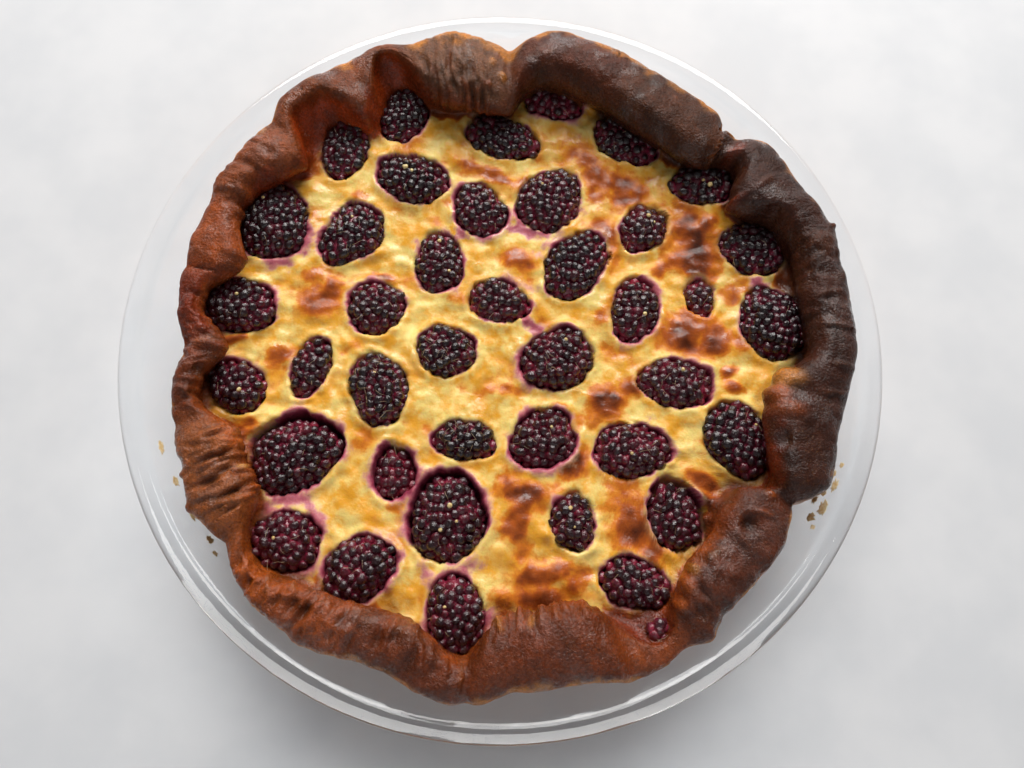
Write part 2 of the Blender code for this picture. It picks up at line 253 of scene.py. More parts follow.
@dataclass(frozen=True)
class Ridges:
    """Fine ribs of the crust that run outwards, side by side between two angles."""

    start: float
    end: float
    count: float
    rise: float
    place: float = 3.5


RIBS = tuple(Ridges(*row) for row in (
    (201, 219, 6, 1.3, 3.2), (139, 157, 4, 0.45, 4.0), (172, 199, 7, 0.65, 3.4),
    (268, 292, 8, 0.8, 2.4), (222, 250, 7, 1.0, 3.8), (94, 111, 6, 1.0, 3.2), (332, 360, 7, 0.45, 3.8),
    (0, 22, 5, 0.4, 3.8), (250, 267, 4, 0.6, 3.4), (303, 330, 6, 0.8, 3.6),
))


@dataclass(frozen=True)
class Patch:
    """A browned place on the custard: its middle, size, turn, how brown and how raised it is."""

    x: float
    y: float
    length: float
    width: float
    turn: float
    brown: float
    rise: float = 0.5


PATCHES = tuple(Patch(*row) for row in (
    (-12, 68, 22, 7, -20, 0.52), (-3, 64, 10, 5, -10, 0.55), (25, 76, 18, 12, -30, 0.58),
    (33, 66, 18, 14, -50, 0.6), (44, 59, 16, 13, -20, 0.58), (34, 43, 15, 18, 20, 0.55),
    (68, 42, 27, 19, 100, 0.8, 0.9), (72, 48, 12, 12, 30, 0.72, 0.9), (66, 50, 14, 10, 20, 0.7),
    (60, 33, 14, 8, 30, 0.5), (67, 6, 26, 14, -12, 0.74, 1.0), (75, 2, 12, 8, 20, 0.7, 0.8),
    (84, 4, 10, 8, 0, 0.5), (80, 22, 9, 12, 0, 0.42), (5, 32, 12, 8, 0, 0.55),
    (-64, 15, 17, 13, 30, 0.58), (-70, 23, 14, 9, 20, 0.4), (-78, -9, 12, 9, 0, 0.5),
    (2, -16, 15, 7, 0, 0.4), (-16, 17, 12, 8, 0, 0.3), (37, -19, 13, 13, 15, 0.9, 1.4),
    (44, -14, 13, 8, 0, 0.6), (20, -22, 9, 5, 0, 0.45), (26.5, -41, 9, 9, 0, 0.78, 1.0),
    (46, -62, 16, 27, 20, 0.76, 0.8), (52, -70, 12, 9, 20, 0.66), (10, -53, 20, 9, -8, 0.68, 0.6),
    (7, -63, 12, 18, 0, 0.55), (18, -79, 20, 9, 10, 0.55, 0.8), (18, -86, 26, 8, 5, 0.72, 1.3),
    (27, -82, 9, 11, -20, 0.65, 1.4), (-45, 22.8, 14, 4, 0, 0.55), (-54, 54, 9, 6, 0, 0.35),
    (4, 62, 10, 8, 0, 0.45), (79, -7, 6, 4.2, 20, 0.62, 1.3), (80, -12.5, 7, 4.6, -10, 0.66, 1.4),
    (-34, -58, 9, 7, 0, 0.35), (50, -73, 12, 6, 0, 0.5), (68, -45, 11, 7, -20, 0.6),
    (56, 31, 9, 8, 0, 0.45), (-28, 47, 12, 6, -30, 0.25), (35, 12, 9, 8, 0, 0.3),
    (-50, -3, 9, 7, 0, 0.22), (83, 60, 8, 6, 0, 0.55), (-84, -32, 8, 5, 0, 0.5),
))


@dataclass(frozen=True)
class Fold:
    """A raised fold of skin on the custard between two points, width across and rise high."""

    x0: float
    y0: float
    x1: float
    y1: float
    width: float
    rise: float
    brown: float


FOLDS = tuple(Fold(*row) for row in (
    (60.5, -47.5, 82, -57, 4.2, 3.4, 0.8), (58, -51, 78, -62, 2.4, 2.0, 0.7),
    (-90, -2, -98, -4, 3.0, 1.8, 0.65), (-82, -34, -90, -38, 3.0, 1.2, 0.5),
))


@dataclass(frozen=True)
class Vein:
    """Juice that has run into the custard between two points."""

    x0: float
    y0: float
    x1: float
    y1: float
    width: float
    strength: float = 0.8


VEINS = tuple(Vein(*row) for row in (
    (-5, 45, 15, 43, 2.6, 0.95), (3, 50, 6, 44, 2.4, 0.9), (-18, 45, -16, 41, 2.4, 0.9),
    (8, 9, 13, 5, 2.6, 0.9), (-25, -50, -25.5, -46, 2.0, 0.7), (-33, 38, -31, 33, 2.0, 0.7),
    (-72, -57, -62, -58, 3.6, 0.9), (-70, 38, -72, 30, 2.4, 0.9), (-85, 26, -78, 26, 3.0, 0.9),
    (-86, -47, -83, -50, 2.6, 0.8), (-52, -80, -30, -74, 2.6, 0.7), (-12, -80, -6, -76, 3.2, 0.8),
    (-22, -78, -19, -84, 3.0, 0.7), (12, 35, 20, 44, 2.6, 0.6), (4, 24, 12, 20, 2.0, 0.5),
    (90, 27, 94, 25, 3.0, 0.9), (46, -31, 52, -25, 2.4, 0.6), (-75, -62, -80, -58, 3.6, 0.9),
    (-56, -67, -60, -60, 3.0, 0.8),
))


@dataclass(frozen=True)
class Berry:
    """One berry as it lies: its middle, its length and width seen from above and its turn.

    juice is how far its stain reaches, hairs how many fine hairs lie on it, crimson how red it
    has stayed, deeper how much more than most it has sunk, gap the open space at its far side and
    lumpy how far its outline is from an ellipse.
    """

    x: float
    y: float
    length: float
    width: float
    turn: float
    juice: float = 0.8
    hairs: int = 12
    crimson: float = 0.0
    deeper: float = 0.0
    gap: float = 0.0
    lumpy: float = 1.0

    @property
    def depth(self) -> float:
        """How far its middle lies below the custard."""
        return BERRY_SINK + self.deeper

    @property
    def inset(self) -> float:
        """How far inside its widest outline the custard meets it."""
        share = min(0.95, BERRY_SINK / (BERRY_ABOVE * self.width))
        return 0.3 + self.width / 2 * (1 - math.sqrt(1 - share * share))

    def bulge(self, angle: np.ndarray) -> np.ndarray:
        """How much wider than its ellipse it is towards angles measured from its long side.

        Args:
            angle: Angles in radians.

        Returns:
            A factor near 1 for each angle.
        """
        waves = 3.2 * np.sin(2 * angle + self.x) + 3.4 * np.sin(3 * angle + 1.7 * self.y)
        waves = waves + 2.2 * np.sin(5 * angle + self.x + self.y)
        return 1 + 0.01 * self.lumpy * waves

    def away(self, x: np.ndarray, y: np.ndarray, spare: float = 0.0) -> np.ndarray:
        """Distance of points from its outline, in millimetres and below nought inside it.

        Args:
            x: Points' x.
            y: Points' y.
            spare: How much room is left at the far side.

        Returns:
            One distance for each point.
        """
        dx, dy = x - self.x, y - self.y - spare / 2
        along, across = turned(dx, dy, self.turn)
        half = (self.length + spare) / 2, (self.width + spare) / 2
        share = np.sqrt((along / half[0]) ** 2 + (across / half[1]) ** 2) + 1e-6
        share = share / self.bulge(np.arctan2(across / half[1], along / half[0]))
        return np.hypot(dx, dy) * (1 - 1 / share)


BERRIES = tuple(Berry(*row) for row in (
    (-62, 74, 26.5, 18, 83, 0.5, 8), (-41, 89, 25, 18.5, 82, 0.8, 6), (-4, 82, 30, 18, -14, 0.6, 6),
    (15.5, 98, 23.5, 16, -5, 2.2, 10, 0.4), (42.5, 82, 29, 17, -33, 0.5, 5),
    (71.5, 65.5, 24, 19, 12, 0.7, 8), (-85, 42, 30, 26, 100, 1.6, 8),
    (-56.5, 39.5, 27, 21, 40, 0.8, 14, 0, 0, 0, 1.8), (-36, 62.5, 27.5, 19.5, -12, 0.9, 8),
    (-10.5, 51.5, 22.5, 20, -50, 1.6, 12, 0.1), (15, 56.5, 27, 24, 62, 1.4, 14, 0.15),
    (-24, 30, 24, 18.5, 92, 1.4, 12, 0.1), (25, 31, 30, 20.5, 54, 1.6, 12),
    (49.5, 46.5, 21, 17, 40, 0.7, 12, 0.25), (89.5, 40, 24, 21.5, -12, 0.8, 8),
    (70, 21, 16, 12.5, 100, 0.6, 8, 0.35, 0.5), (95.5, 11.5, 27.5, 25, 105, 0.9, 8),
    (46.5, 15, 25.5, 18, 85, 1.2, 10, 0.2), (-2, 16, 24.5, 16, -8, 1.2, 16, 0.2),
    (-45.5, 11.5, 22, 20, 120, 1.3, 12, 0.15), (-93.5, 9.5, 27, 21, -8, 1.2, 12, 0.1),
    (-19.5, -3.5, 22.5, 19, -20, 0.5, 26), (19.5, -4.5, 26.5, 23, 15, 1.4, 18, 0.15),
    (61, -12, 28.5, 17.5, -4, 1.0, 22, 0.25), (-66, -11.5, 24, 14, 78, 0.7, 10, 0.1),
    (-42, -18.5, 26.5, 21, 112, 0.4, 26), (-90.5, -19.5, 23.5, 18, -32, 0.9, 12, 0.15),
    (-11.5, -35, 23, 15, -5, 0.4, 26), (15.5, -33.5, 24, 21, 48, 1.4, 16, 0.25, 0.5, 0.6),
    (45.5, -36, 26.5, 20, 3, 1.0, 16, 0.25), (81.5, -31, 29, 21.5, 113, 0.5, 10),
    (-68, -43, 30.5, 26, 24, 1.8, 12, 0.1, 1.5, 2.2),
    (-34.5, -47.5, 19, 14.5, 100, 1.8, 14, 0.5, 2.0, 1.6),
    (-15.5, -62, 30, 25, 98, 1.4, 14, 0.1, 0.8, 2.0), (26, -61, 20.5, 16, 95, 0.9, 16, 0.2),
    (60, -58, 24, 18, 112, 0.8, 12, 0.1, 0, 2.2), (46.5, -80, 24, 17, -10, 0.8, 16, 0.15),
    (-67.5, -71.5, 24, 20.5, -4, 1.8, 16, 0.3), (-43, -79.5, 25.5, 21.5, 35, 1.2, 14, 0.1),
    (-11, -92.5, 26, 20, 96, 1.8, 14, 0.15), (53.5, -94, 10, 8, 65, 2.0, 4, 0.6, -3.5),
))


def wall_radius(height: np.ndarray | float) -> np.ndarray | float:
    """Radius of the dish's inner wall at a height, both in millimetres."""
    return WALL_FOOT_RADIUS + WALL_LEAN * (height - GLASS)


def custard_level(x: np.ndarray, y: np.ndarray) -> np.ndarray:
    """Height of the custard between the berries, in millimetres.

    Args:
        x: Points' x.
        y: Points' y.

    Returns:
        One height for each point.
    """
    wave = np.sin(x / 17 + 0.6) * np.sin(y / 14 - 0.4)
    rise = np.minimum(1.0, np.hypot(x, y) / 95) ** 3
    return CUSTARD_LEVEL + CUSTARD_WAVE * wave + EDGE_RISE * rise


def ease(value: np.ndarray, low: float, high: float) -> np.ndarray:
    """How far a value has come from low to high, from 0 to 1 and eased at both ends."""
    share = np.clip((value - low) / (high - low), 0, 1)
    return share * share * (3 - 2 * share)


def apart(angle: np.ndarray, middle: float) -> np.ndarray:
    """Degrees from a middle to each angle, -180 to 180."""
    return (angle - middle + 180) % 360 - 180


def turned(dx: np.ndarray, dy: np.ndarray, degrees: float) -> tuple[np.ndarray, np.ndarray]:
    """Offsets measured along a direction and across it."""
    turn = math.radians(degrees)
    return dx * math.cos(turn) + dy * math.sin(turn), dy * math.cos(turn) - dx * math.sin(turn)


def aimed(direction: Vector) -> Matrix:
    """The turn that carries +Z onto a direction."""
    return direction.to_track_quat("Z", "Y").to_matrix().to_4x4()


def grain(points: np.ndarray, size: float, octaves: int = 1, seed: float = 0.0) -> np.ndarray:
    """Smooth chance bumps at points.

    Args:
        points: Rows of x, y and z in millimetres.
        size: Width of a bump in millimetres.
        octaves: How many ever finer layers it has.
        seed: Moves the pattern elsewhere.

    Returns:
        One value for each point, about -1 to 1.
    """
    spots = (points / size + seed).tolist()
    return np.array([noise.fractal(spot, 1.0, 2.0, octaves) for spot in spots]) * 1.4


class Around:
    """A value that changes round the crust, softened between the angles where it is known."""

    STEP = 0.25

    def __init__(self, places: Sequence[float], values: Sequence, soften: float) -> None:
        """Lays the values out round the circle.

        Args:
            places: Angles in rising order.
            values: A number or a row of numbers for each of them.
            soften: How many degrees a change is spread over.
        """
        columns = np.asarray(values, float).reshape(len(places), -1).T
        grid = np.arange(0, 360, self.STEP)
        reach = max(1, round(2.5 * soften / self.STEP))
        bell = np.exp(-0.5 * (np.arange(-reach, reach + 1) * self.STEP / soften) ** 2)
        bell /= bell.sum()
        rows = []
        for column in columns:
            ring = np.interp(grid, places, column, period=360)
            ring = np.concatenate([ring[-reach:], ring, ring[:reach]])
            rows.append(np.convolve(ring, bell, "valid"))
        self.table = np.stack(rows, axis=1)

    def at(self, angle: np.ndarray) -> np.ndarray:
        """The value at each angle, as a row where it has several numbers.

        Args:
            angle: Angles in degrees.

        Returns:
            A number or a row of numbers for each angle.
        """
        place = (angle % 360) / self.STEP
        low = np.floor(place).astype(int)
        share = (place - low)[:, None]
        count = len(self.table)
        found = self.table[low % count] * (1 - share) + self.table[(low + 1) % count] * share
        return found[:, 0] if found.shape[1] == 1 else found


def by_puff(values: Sequence, soften: float) -> Around:
    """Spreads one value for each puff over its stretch of the crust.

    Args:
        values: A number or a row of numbers for each puff.
        soften: How many degrees the change between two puffs is spread over.

    Returns:
        The value all round.
    """
    places, laid = [], []
    start = PUFFS[-1].end - 360
    for puff, value in zip(PUFFS, values):
        edge = min(2.5, (puff.end - start) / 3)
        for place in (start + edge, puff.end - edge):
            places.append(place % 360)
            laid.append(value)
        start = puff.end
    order = np.argsort(places)
    return Around([places[k] for k in order], [laid[k] for k in order], soften)


def bell(value: np.ndarray, width: float) -> np.ndarray:
    """A bell curve, 1 at nought and 0.37 at width."""
    return np.exp(-((value / width) ** 2))


def beside(x: np.ndarray, y: np.ndarray, line: Fold | Vein) -> np.ndarray:
    """Distance of points from a line between two points, in millimetres.

    Args:
        x: Points' x.
        y: Points' y.
        line: The fold or vein that the line is.

    Returns:
        One distance for each point.
    """
    run = np.array([line.x1 - line.x0, line.y1 - line.y0])
    share = ((x - line.x0) * run[0] + (y - line.y0) * run[1]) / (run @ run)
    share = np.clip(share, 0, 1)
    return np.hypot(x - line.x0 - share * run[0], y - line.y0 - share * run[1])


def finished(name: str, form: bmesh.types.BMesh, material: bpy.types.Material) -> bpy.types.Object:
    """Makes a smooth object of a bmesh at the origin, links it and dresses it.

    Args:
        name: The piece's name.
        form: Its shape, in metres and in place. It is freed.
        material: Its finish.

    Returns:
        The new object.
    """
    mesh = bpy.data.meshes.new(name)
    form.to_mesh(mesh)
    form.free()
    mesh.shade_smooth()
    mesh.materials.append(material)
    piece = bpy.data.objects.new(name, mesh)
    bpy.context.scene.collection.objects.link(piece)
    return piece


def declare(piece: bpy.types.Object, slot: str, *nodes: str) -> None:
    """Ties a piece to the frame and reports it.

    Args:
        piece: The finished piece.
        slot: A material slot's name; it is not used.
        nodes: The frame's nodes that it stands for.
    """
    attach(piece, "root")
    if nodes:
        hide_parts(*nodes)
    LOG.info("%s: %d faces for %s", piece.name, len(piece.data.polygons), nodes or "no node")


def paint(mesh: bpy.types.Mesh, name: str, values: np.ndarray) -> None:
    """Writes a number, or a colour of three, for each vertex of a mesh as an attribute.

    Args:
        mesh: The mesh.
        name: The attribute's name.
        values: A number or a row of three for each vertex.
    """
    if values.ndim == 1:
        mesh.attributes.new(name, "FLOAT", "POINT").data.foreach_set("value", values)
        return
    colours = np.concatenate([values, np.ones((len(values), 1))], axis=1)
    mesh.attributes.new(name, "FLOAT_COLOR", "POINT").data.foreach_set("color", colours.ravel())


class Wiring:
    """A material's nodes, with short ways to add them and join them."""

    def __init__(self, name: str) -> None:
        """Starts a material with a Principled shader and Object coordinates.

        Args:
            name: The material's name.
        """
        self.material = bpy.data.materials.new(name)
        self.material.use_nodes = True
        self.tree = self.material.node_tree
        self.shader = self.tree.nodes["Principled BSDF"]
        self.place = self.add("TexCoord").outputs["Object"]

    def add(self, kind: str, **settings: object) -> bpy.types.Node:
        """Adds a node and sets its options.

        Args:
            kind: The node's type, without its first word ShaderNode.
            settings: Its options by name.

        Returns:
            The new node.
        """
        made = self.tree.nodes.new(f"ShaderNode{kind}")
        for key, value in settings.items():
            setattr(made, key, value)
        return made

    def feed(self, socket: bpy.types.NodeSocket, value: object) -> None:
        """Sets a socket to a value, or joins it to another node's output.

        Args:
            socket: The socket.
            value: The value or the output.
        """
        if isinstance(value, bpy.types.NodeSocket):
            self.tree.links.new(value, socket)
        else:
            socket.default_value = value

    def attribute(self, name: str, output: str = "Fac") -> bpy.types.NodeSocket:
        """Reads an attribute that was painted on the mesh."""
        return self.add("Attribute", attribute_name=name).outputs[output]

    def speckle(self, size: float, detail: float = 2.0,
                roughness: float = 0.55) -> bpy.types.NodeSocket:
        """Noise about 0 to 1 with spots of a size in millimetres.

        Args:
            size: Width of a spot in millimetres.
            detail: How many finer layers it has.
            roughness: How strong the finer layers are.

        Returns:
            The noise.
        """
        made = self.add("TexNoise")
        self.feed(made.inputs["Vector"], self.place)
        self.feed(made.inputs["Scale"], 1000 / size)
        self.feed(made.inputs["Detail"], detail)
        self.feed(made.inputs["Roughness"], roughness)
        return made.outputs["Fac"]

    def pores(self, size: float) -> bpy.types.NodeSocket:
        """Distance from the middle of the nearest pore, with pores a size in millimetres apart.

        Args:
            size: How far apart the pores are.

        Returns:
            The distance, which is nought in a pore's middle.
        """
        made = self.add("TexVoronoi")
        self.feed(made.inputs["Vector"], self.place)
        self.feed(made.inputs["Scale"], 1000 / size)
        return made.outputs["Distance"]

    def maths(self, kind: str, a: object, b: object) -> bpy.types.NodeSocket:
        """A number worked out from two.

        Args:
            kind: The operation.
            a: The first number.
            b: The second number.

        Returns:
            The result.
        """
        made = self.add("Math", operation=kind)
        self.feed(made.inputs[0], a)
        self.feed(made.inputs[1], b)
        return made.outputs[0]

    def plus(self, a: object, b: object) -> bpy.types.NodeSocket:
        """The sum of two numbers."""
        return self.maths("ADD", a, b)

    def times(self, a: object, b: object) -> bpy.types.NodeSocket:
        """The product of two numbers."""
        return self.maths("MULTIPLY", a, b)

    def swing(self, value: object, by: float) -> bpy.types.NodeSocket:
        """How far a value is from a half, scaled."""
        return self.times(self.maths("SUBTRACT", value, 0.5), by)

    def grey(self, value: object) -> bpy.types.NodeSocket:
        """A grey as bright as a number.

        Args:
            value: The number.

        Returns:
            The colour.
        """
        made = self.add("CombineColor")
        for socket in made.inputs:
            self.feed(socket, value)
        return made.outputs[0]

    def span(self, value: object, low: float, high: float, start: float = 0.0,
             end: float = 1.0) -> bpy.types.NodeSocket:
        """Carries a value from the range low to high over to start to end, eased.

        Args:
            value: The value.
            low: Where its range begins.
            high: Where its range ends.
            start: What low becomes.
            end: What high becomes.

        Returns:
            The carried value.
        """
        made = self.add("MapRange", interpolation_type="SMOOTHSTEP")
        for socket, number in zip(made.inputs, (value, low, high, start, end)):
            self.feed(socket, number)
        return made.outputs[0]

    def mix(self, share: object, a: object, b: object, how: str = "MIX") -> bpy.types.NodeSocket:
        """A colour between two.

        Args:
            share: How much of the second colour shows, 0 to 1.
            a: The first colour or its hex code.
            b: The second colour or its hex code.
            how: The way they are blended.

        Returns:
            The colour.
        """
        made = self.add("Mix", data_type="RGBA", blend_type=how)
        for place, value in ((0, share), (6, a), (7, b)):
            if isinstance(value, str):
                value = (*linear(value), 1.0)
            self.feed(made.inputs[place], value)
        return made.outputs[2]

    def ramp(self, value: object, *stops: tuple[float, str]) -> bpy.types.NodeSocket:
        """A colour read off a row of hex codes at their places.

        Args:
            value: The place it is read at.
            stops: Places and hex codes, in rising order.

        Returns:
            The colour.
        """
        made = self.add("ValToRGB")
        row = made.color_ramp.elements
        while len(row) < len(stops):
            row.new(0.5)
        for element, (place, code) in zip(row, stops):
            element.position = place
            element.color = (*linear(code), 1.0)
        self.feed(made.inputs[0], value)
        return made.outputs[0]

    def bump(self, height: object, depth: float, below: object = None) -> bpy.types.NodeSocket:
        """Small relief, depth millimetres from its low to its high, over any that is there.

        Args:
            height: The relief from 0 to 1.
            depth: Its depth in millimetres.
            below: The relief that is there.

        Returns:
            The relief as a normal.
        """
        made = self.add("Bump")
        self.feed(made.inputs["Strength"], 1.0)
        self.feed(made.inputs["Distance"], depth * MM)
        self.feed(made.inputs["Height"], height)
        if below is not None:
            self.feed(made.inputs["Normal"], below)
        return made.outputs[0]

    def finish(self, **values: object) -> bpy.types.Material:
        """Sets the shader's sockets by name, with _ for a space, and returns the material.

        Args:
            values: Values or outputs by the sockets' names.

        Returns:
            The material.
        """
        for key, value in values.items():
            self.feed(self.shader.inputs[key.replace("_", " ")], value)
        return self.material


@dataclass(frozen=True)
class BakedFinish:
    """Baked custard, from egg yellow through its brown patches to the dark skin of the crust."""

    yellow: str = "f2ab34"
    pale: str = "ffde84"

    def custard(self, w: Wiring, fine: bpy.types.NodeSocket) -> bpy.types.NodeSocket:
        """Colour of the custard: pale curds, brown skin, painted shade in the hollows between its curds,
        frills and juice.

        Args:
            w: The material's nodes.
            fine: Fine noise that its browning and stains share.

        Returns:
            The colour.
        """
        share = w.plus(w.speckle(9, 3), w.times(fine, 0.5))
        curd = w.mix(w.span(share, 0.55, 0.95), self.yellow, self.pale)
        brown_tone = w.plus(w.attribute("brown_tone"), w.swing(fine, 0.3))
        skin = w.ramp(brown_tone, (0.2, "ee982a"), (0.34, "da7e26"), (0.48, "b85c20"),
                      (0.64, "94461a"), (0.82, "6a3016"), (1.0, "461e0e"))
        colour = w.mix(w.span(brown_tone, 0.14, 0.32), curd, skin)
        colour = w.mix(w.times(w.attribute("frill"), 0.4), colour, "ffe2a0")
        run = w.plus(w.attribute("stained"), w.swing(fine, 0.45))
        juice = w.ramp(run, (0.2, "f6d2a0"), (0.4, "e2a692"), (0.6, "c8707a"), (0.8, "9a3c52"),
                       (1.0, "5c142a"))
        return w.mix(w.span(run, 0.16, 0.55), colour, juice)

    def crust(self, w: Wiring) -> bpy.types.NodeSocket:
        """Colour of the crust: its painted browns, mottled, with pale specks that are partly dust and
        partly painted glints.

        Args:
            w: The material's nodes.

        Returns:
            The colour.
        """
        mottle = w.times(w.span(w.speckle(7, 4, 0.6), 0.3, 0.7, 0.7, 1.4),
                         w.span(w.speckle(0.8, 3, 0.7), 0.38, 0.62, 0.78, 1.22))
        colour = w.mix(1.0, w.attribute("bake", "Color"), w.grey(mottle), "MULTIPLY")
        # Pale specks: partly dust on the crust and partly painted glints of light.
        dust_and_glints = w.times(w.span(w.speckle(0.6, 2, 0.7), 0.55, 0.72, 0, 0.22),
                       w.span(w.speckle(12, 2), 0.35, 0.6))
        return w.mix(dust_and_glints, colour, "a87444")

    def make(self) -> bpy.types.Material:
        """Builds the material, which reads what the clafoutis paints on its mesh.

        Returns:
            The material.
        """
        w = Wiring("baked_custard_skin")
        fine = w.speckle(2.2, 3)
        crusty, glossy = w.attribute("crusty"), w.attribute("glossy")
        colour = w.mix(crusty, self.custard(w, fine), self.crust(w))
        # Painted shade: the crust is darkened to near black in the middle of each small pore, for the shade
        # inside it.
        pores = w.times(w.span(w.pores(2.3), 0.16, 0.05, 0, 0.5), crusty)
        colour = w.mix(pores, colour, "1e0d08")
        rough = w.maths("SUBTRACT", w.span(fine, 0.3, 0.7, 0.3, 0.46), w.times(glossy, 0.2))
        wet = w.times(w.plus(0.05, glossy),
                      w.span(w.speckle(1.1, 2, 0.6), 0.38, 0.62, 0.5, 1.15))
        waves = w.times(w.speckle(3.6, 3, 0.5), w.plus(w.times(crusty, 0.2), 0.5))
        wrinkles = w.times(w.speckle(1.7, 3, 0.6), crusty)
        grit = w.times(w.speckle(0.85, 3, 0.7), w.plus(w.times(crusty, 0.5), 0.2))
        relief = w.bump(grit, 0.6, w.bump(wrinkles, 0.22, w.bump(waves, 0.75)))
        return w.finish(Base_Color=colour, Roughness=rough, Normal=relief, Subsurface_Weight=0.2,
                        Subsurface_Radius=(1.0, 0.4, 0.1), Subsurface_Scale=0.0025,
                        Specular_IOR_Level=0.16, Coat_Weight=wet, Coat_Roughness=0.22,
                        Coat_Normal=relief)


@dataclass(frozen=True)
class BerryFinish:
    """Cooked berry skin, near black on top of each bead and crimson in between."""

    skin: str = "1a080d"
    purple: str = "2e0c17"
    deep: str = "561428"
    juice: str = "902440"

    def make(self) -> bpy.types.Material:
        """Builds the material, which reads what each berry paints on its mesh.

        Returns:
            The material.
        """
        w = Wiring("berry_skin")
        height = w.plus(w.attribute("juice"), w.swing(w.speckle(1.3, 2), 0.5))
        dark = w.ramp(height, (0.0, self.juice), (0.3, self.deep), (0.55, self.purple),
                      (0.85, self.skin))
        crimson = w.ramp(height, (0.1, "a42c42"), (0.5, "7c1e32"), (0.95, "4a1422"))
        colour = w.mix(w.attribute("tone"), dark, crimson)
        colour = w.mix(w.span(w.speckle(2.4, 3), 0.58, 0.8, 0, 0.3), colour, "57303f")
        relief = w.bump(w.speckle(1.2, 3, 0.6), 0.5)
        rough = w.span(w.speckle(1.7, 2), 0.3, 0.7, 0.16, 0.34)
        return w.finish(Base_Color=colour, Roughness=rough, Normal=relief, Specular_IOR_Level=0.36,
                        Coat_Weight=0.85, Coat_Roughness=0.1, Coat_Normal=relief)


@dataclass(frozen=True)
class PlainFinish:
    """A small thing's finish: two colours in spots, its roughness and its fine relief."""

    name: str
    light: str
    dark: str
    spot: float = 0.8
    roughness: float = 0.4
    relief: float = 0.1

    def make(self) -> bpy.types.Material:
        """Builds the material.

        Returns:
            The material.
        """
        w = Wiring(self.name)
        spots = w.speckle(self.spot, 3)
        return w.finish(Base_Color=w.mix(w.span(spots, 0.35, 0.65), self.dark, self.light),
                        Roughness=self.roughness, Normal=w.bump(spots, self.relief))


@dataclass(frozen=True)
class GlassFinish:
    """Clear pressed glass with a breath of blue, which lets light through to what it shades."""

    tint: tuple[float, float, float] = (0.97, 0.987, 1.0)
    roughness: float = 0.03

    def make(self) -> bpy.types.Material:
        """Builds the material, transparent to shadow rays.

        Returns:
            The material.
        """
        w = Wiring("clear_pressed_glass")
        w.finish(Base_Color=(*self.tint, 1.0), Roughness=self.roughness, IOR=1.46,
                 Transmission_Weight=1.0, Normal=w.bump(w.speckle(14, 2), 0.12))
        clear = w.add("BsdfTransparent")
        clear.inputs["Color"].default_value = (*self.tint, 1.0)
        choice = w.add("MixShader")
        w.feed(choice.inputs[0], w.add("LightPath").outputs["Is Shadow Ray"])
        w.feed(choice.inputs[1], w.shader.outputs[0])
        w.feed(choice.inputs[2], clear.outputs[0])
        w.feed(w.tree.nodes["Material Output"].inputs["Surface"], choice.outputs[0])
        return w.material


@dataclass
class PieDish:
    """The glass dish: a flat base, a leaning wall and a thick rounded rim, turned in one piece."""

    rim_radius: float = 130.0
    rim_height: float = 38.0
    rim_width: float = 6.5
    base_radius: float = BASE_RADIUS
    steps: int = 192

    def outline(self) -> list[tuple[float, float, float]]:
        """Radius, height and rounding of each corner of half the dish's section.

        Returns:
            A row of three for each corner, in millimetres.
        """
        top = self.rim_height - 4
        inner = self.rim_radius - self.rim_width
        return [
            (0, GLASS, 0), (WALL_FOOT_RADIUS - 2.5, GLASS, 3.5), (wall_radius(top), top, 1.5),
            (inner, self.rim_height - 0.3, 1.2), (self.rim_radius - 1, self.rim_height, 1.4),
            (self.rim_radius, self.rim_height - 4, 1.4),
            (wall_radius(top) + GLASS, self.rim_height - 6, 1.2),
            (WALL_FOOT_RADIUS + 2.5, 0, 4), (self.base_radius + 2, 0, 0), (0, 0, 0),
        ]

    def build(self) -> bpy.types.Object:
        """Returns:
            The dish's object.
        """
        form = bmesh.new()
        corners = self.outline()
        verts = [form.verts.new((radius * MM, 0, height * MM)) for radius, height, _ in corners]
        for pair in zip(verts, verts[1:]):
            form.edges.new(pair)
        for vert, (_, _, rounding) in zip(verts, corners):
            if rounding:
                bmesh.ops.bevel(form, geom=[vert], offset=rounding * MM, offset_type="OFFSET",
                                affect="VERTICES", segments=5, profile=0.5, material=-1)
        bmesh.ops.spin(form, geom=form.verts[:] + form.edges[:], cent=(0, 0, 0), axis=(0, 0, 1),
                       dvec=(0, 0, 0), angle=2 * math.pi, steps=self.steps, use_merge=True,
                       use_duplicate=False)
        bmesh.ops.remove_doubles(form, verts=form.verts, dist=0.02 * MM)
        bmesh.ops.recalc_face_normals(form, faces=form.faces)
        piece = finished("pie_dish", form, GlassFinish().make())
        declare(piece, "clear_glass", "glass_dish")
        return piece


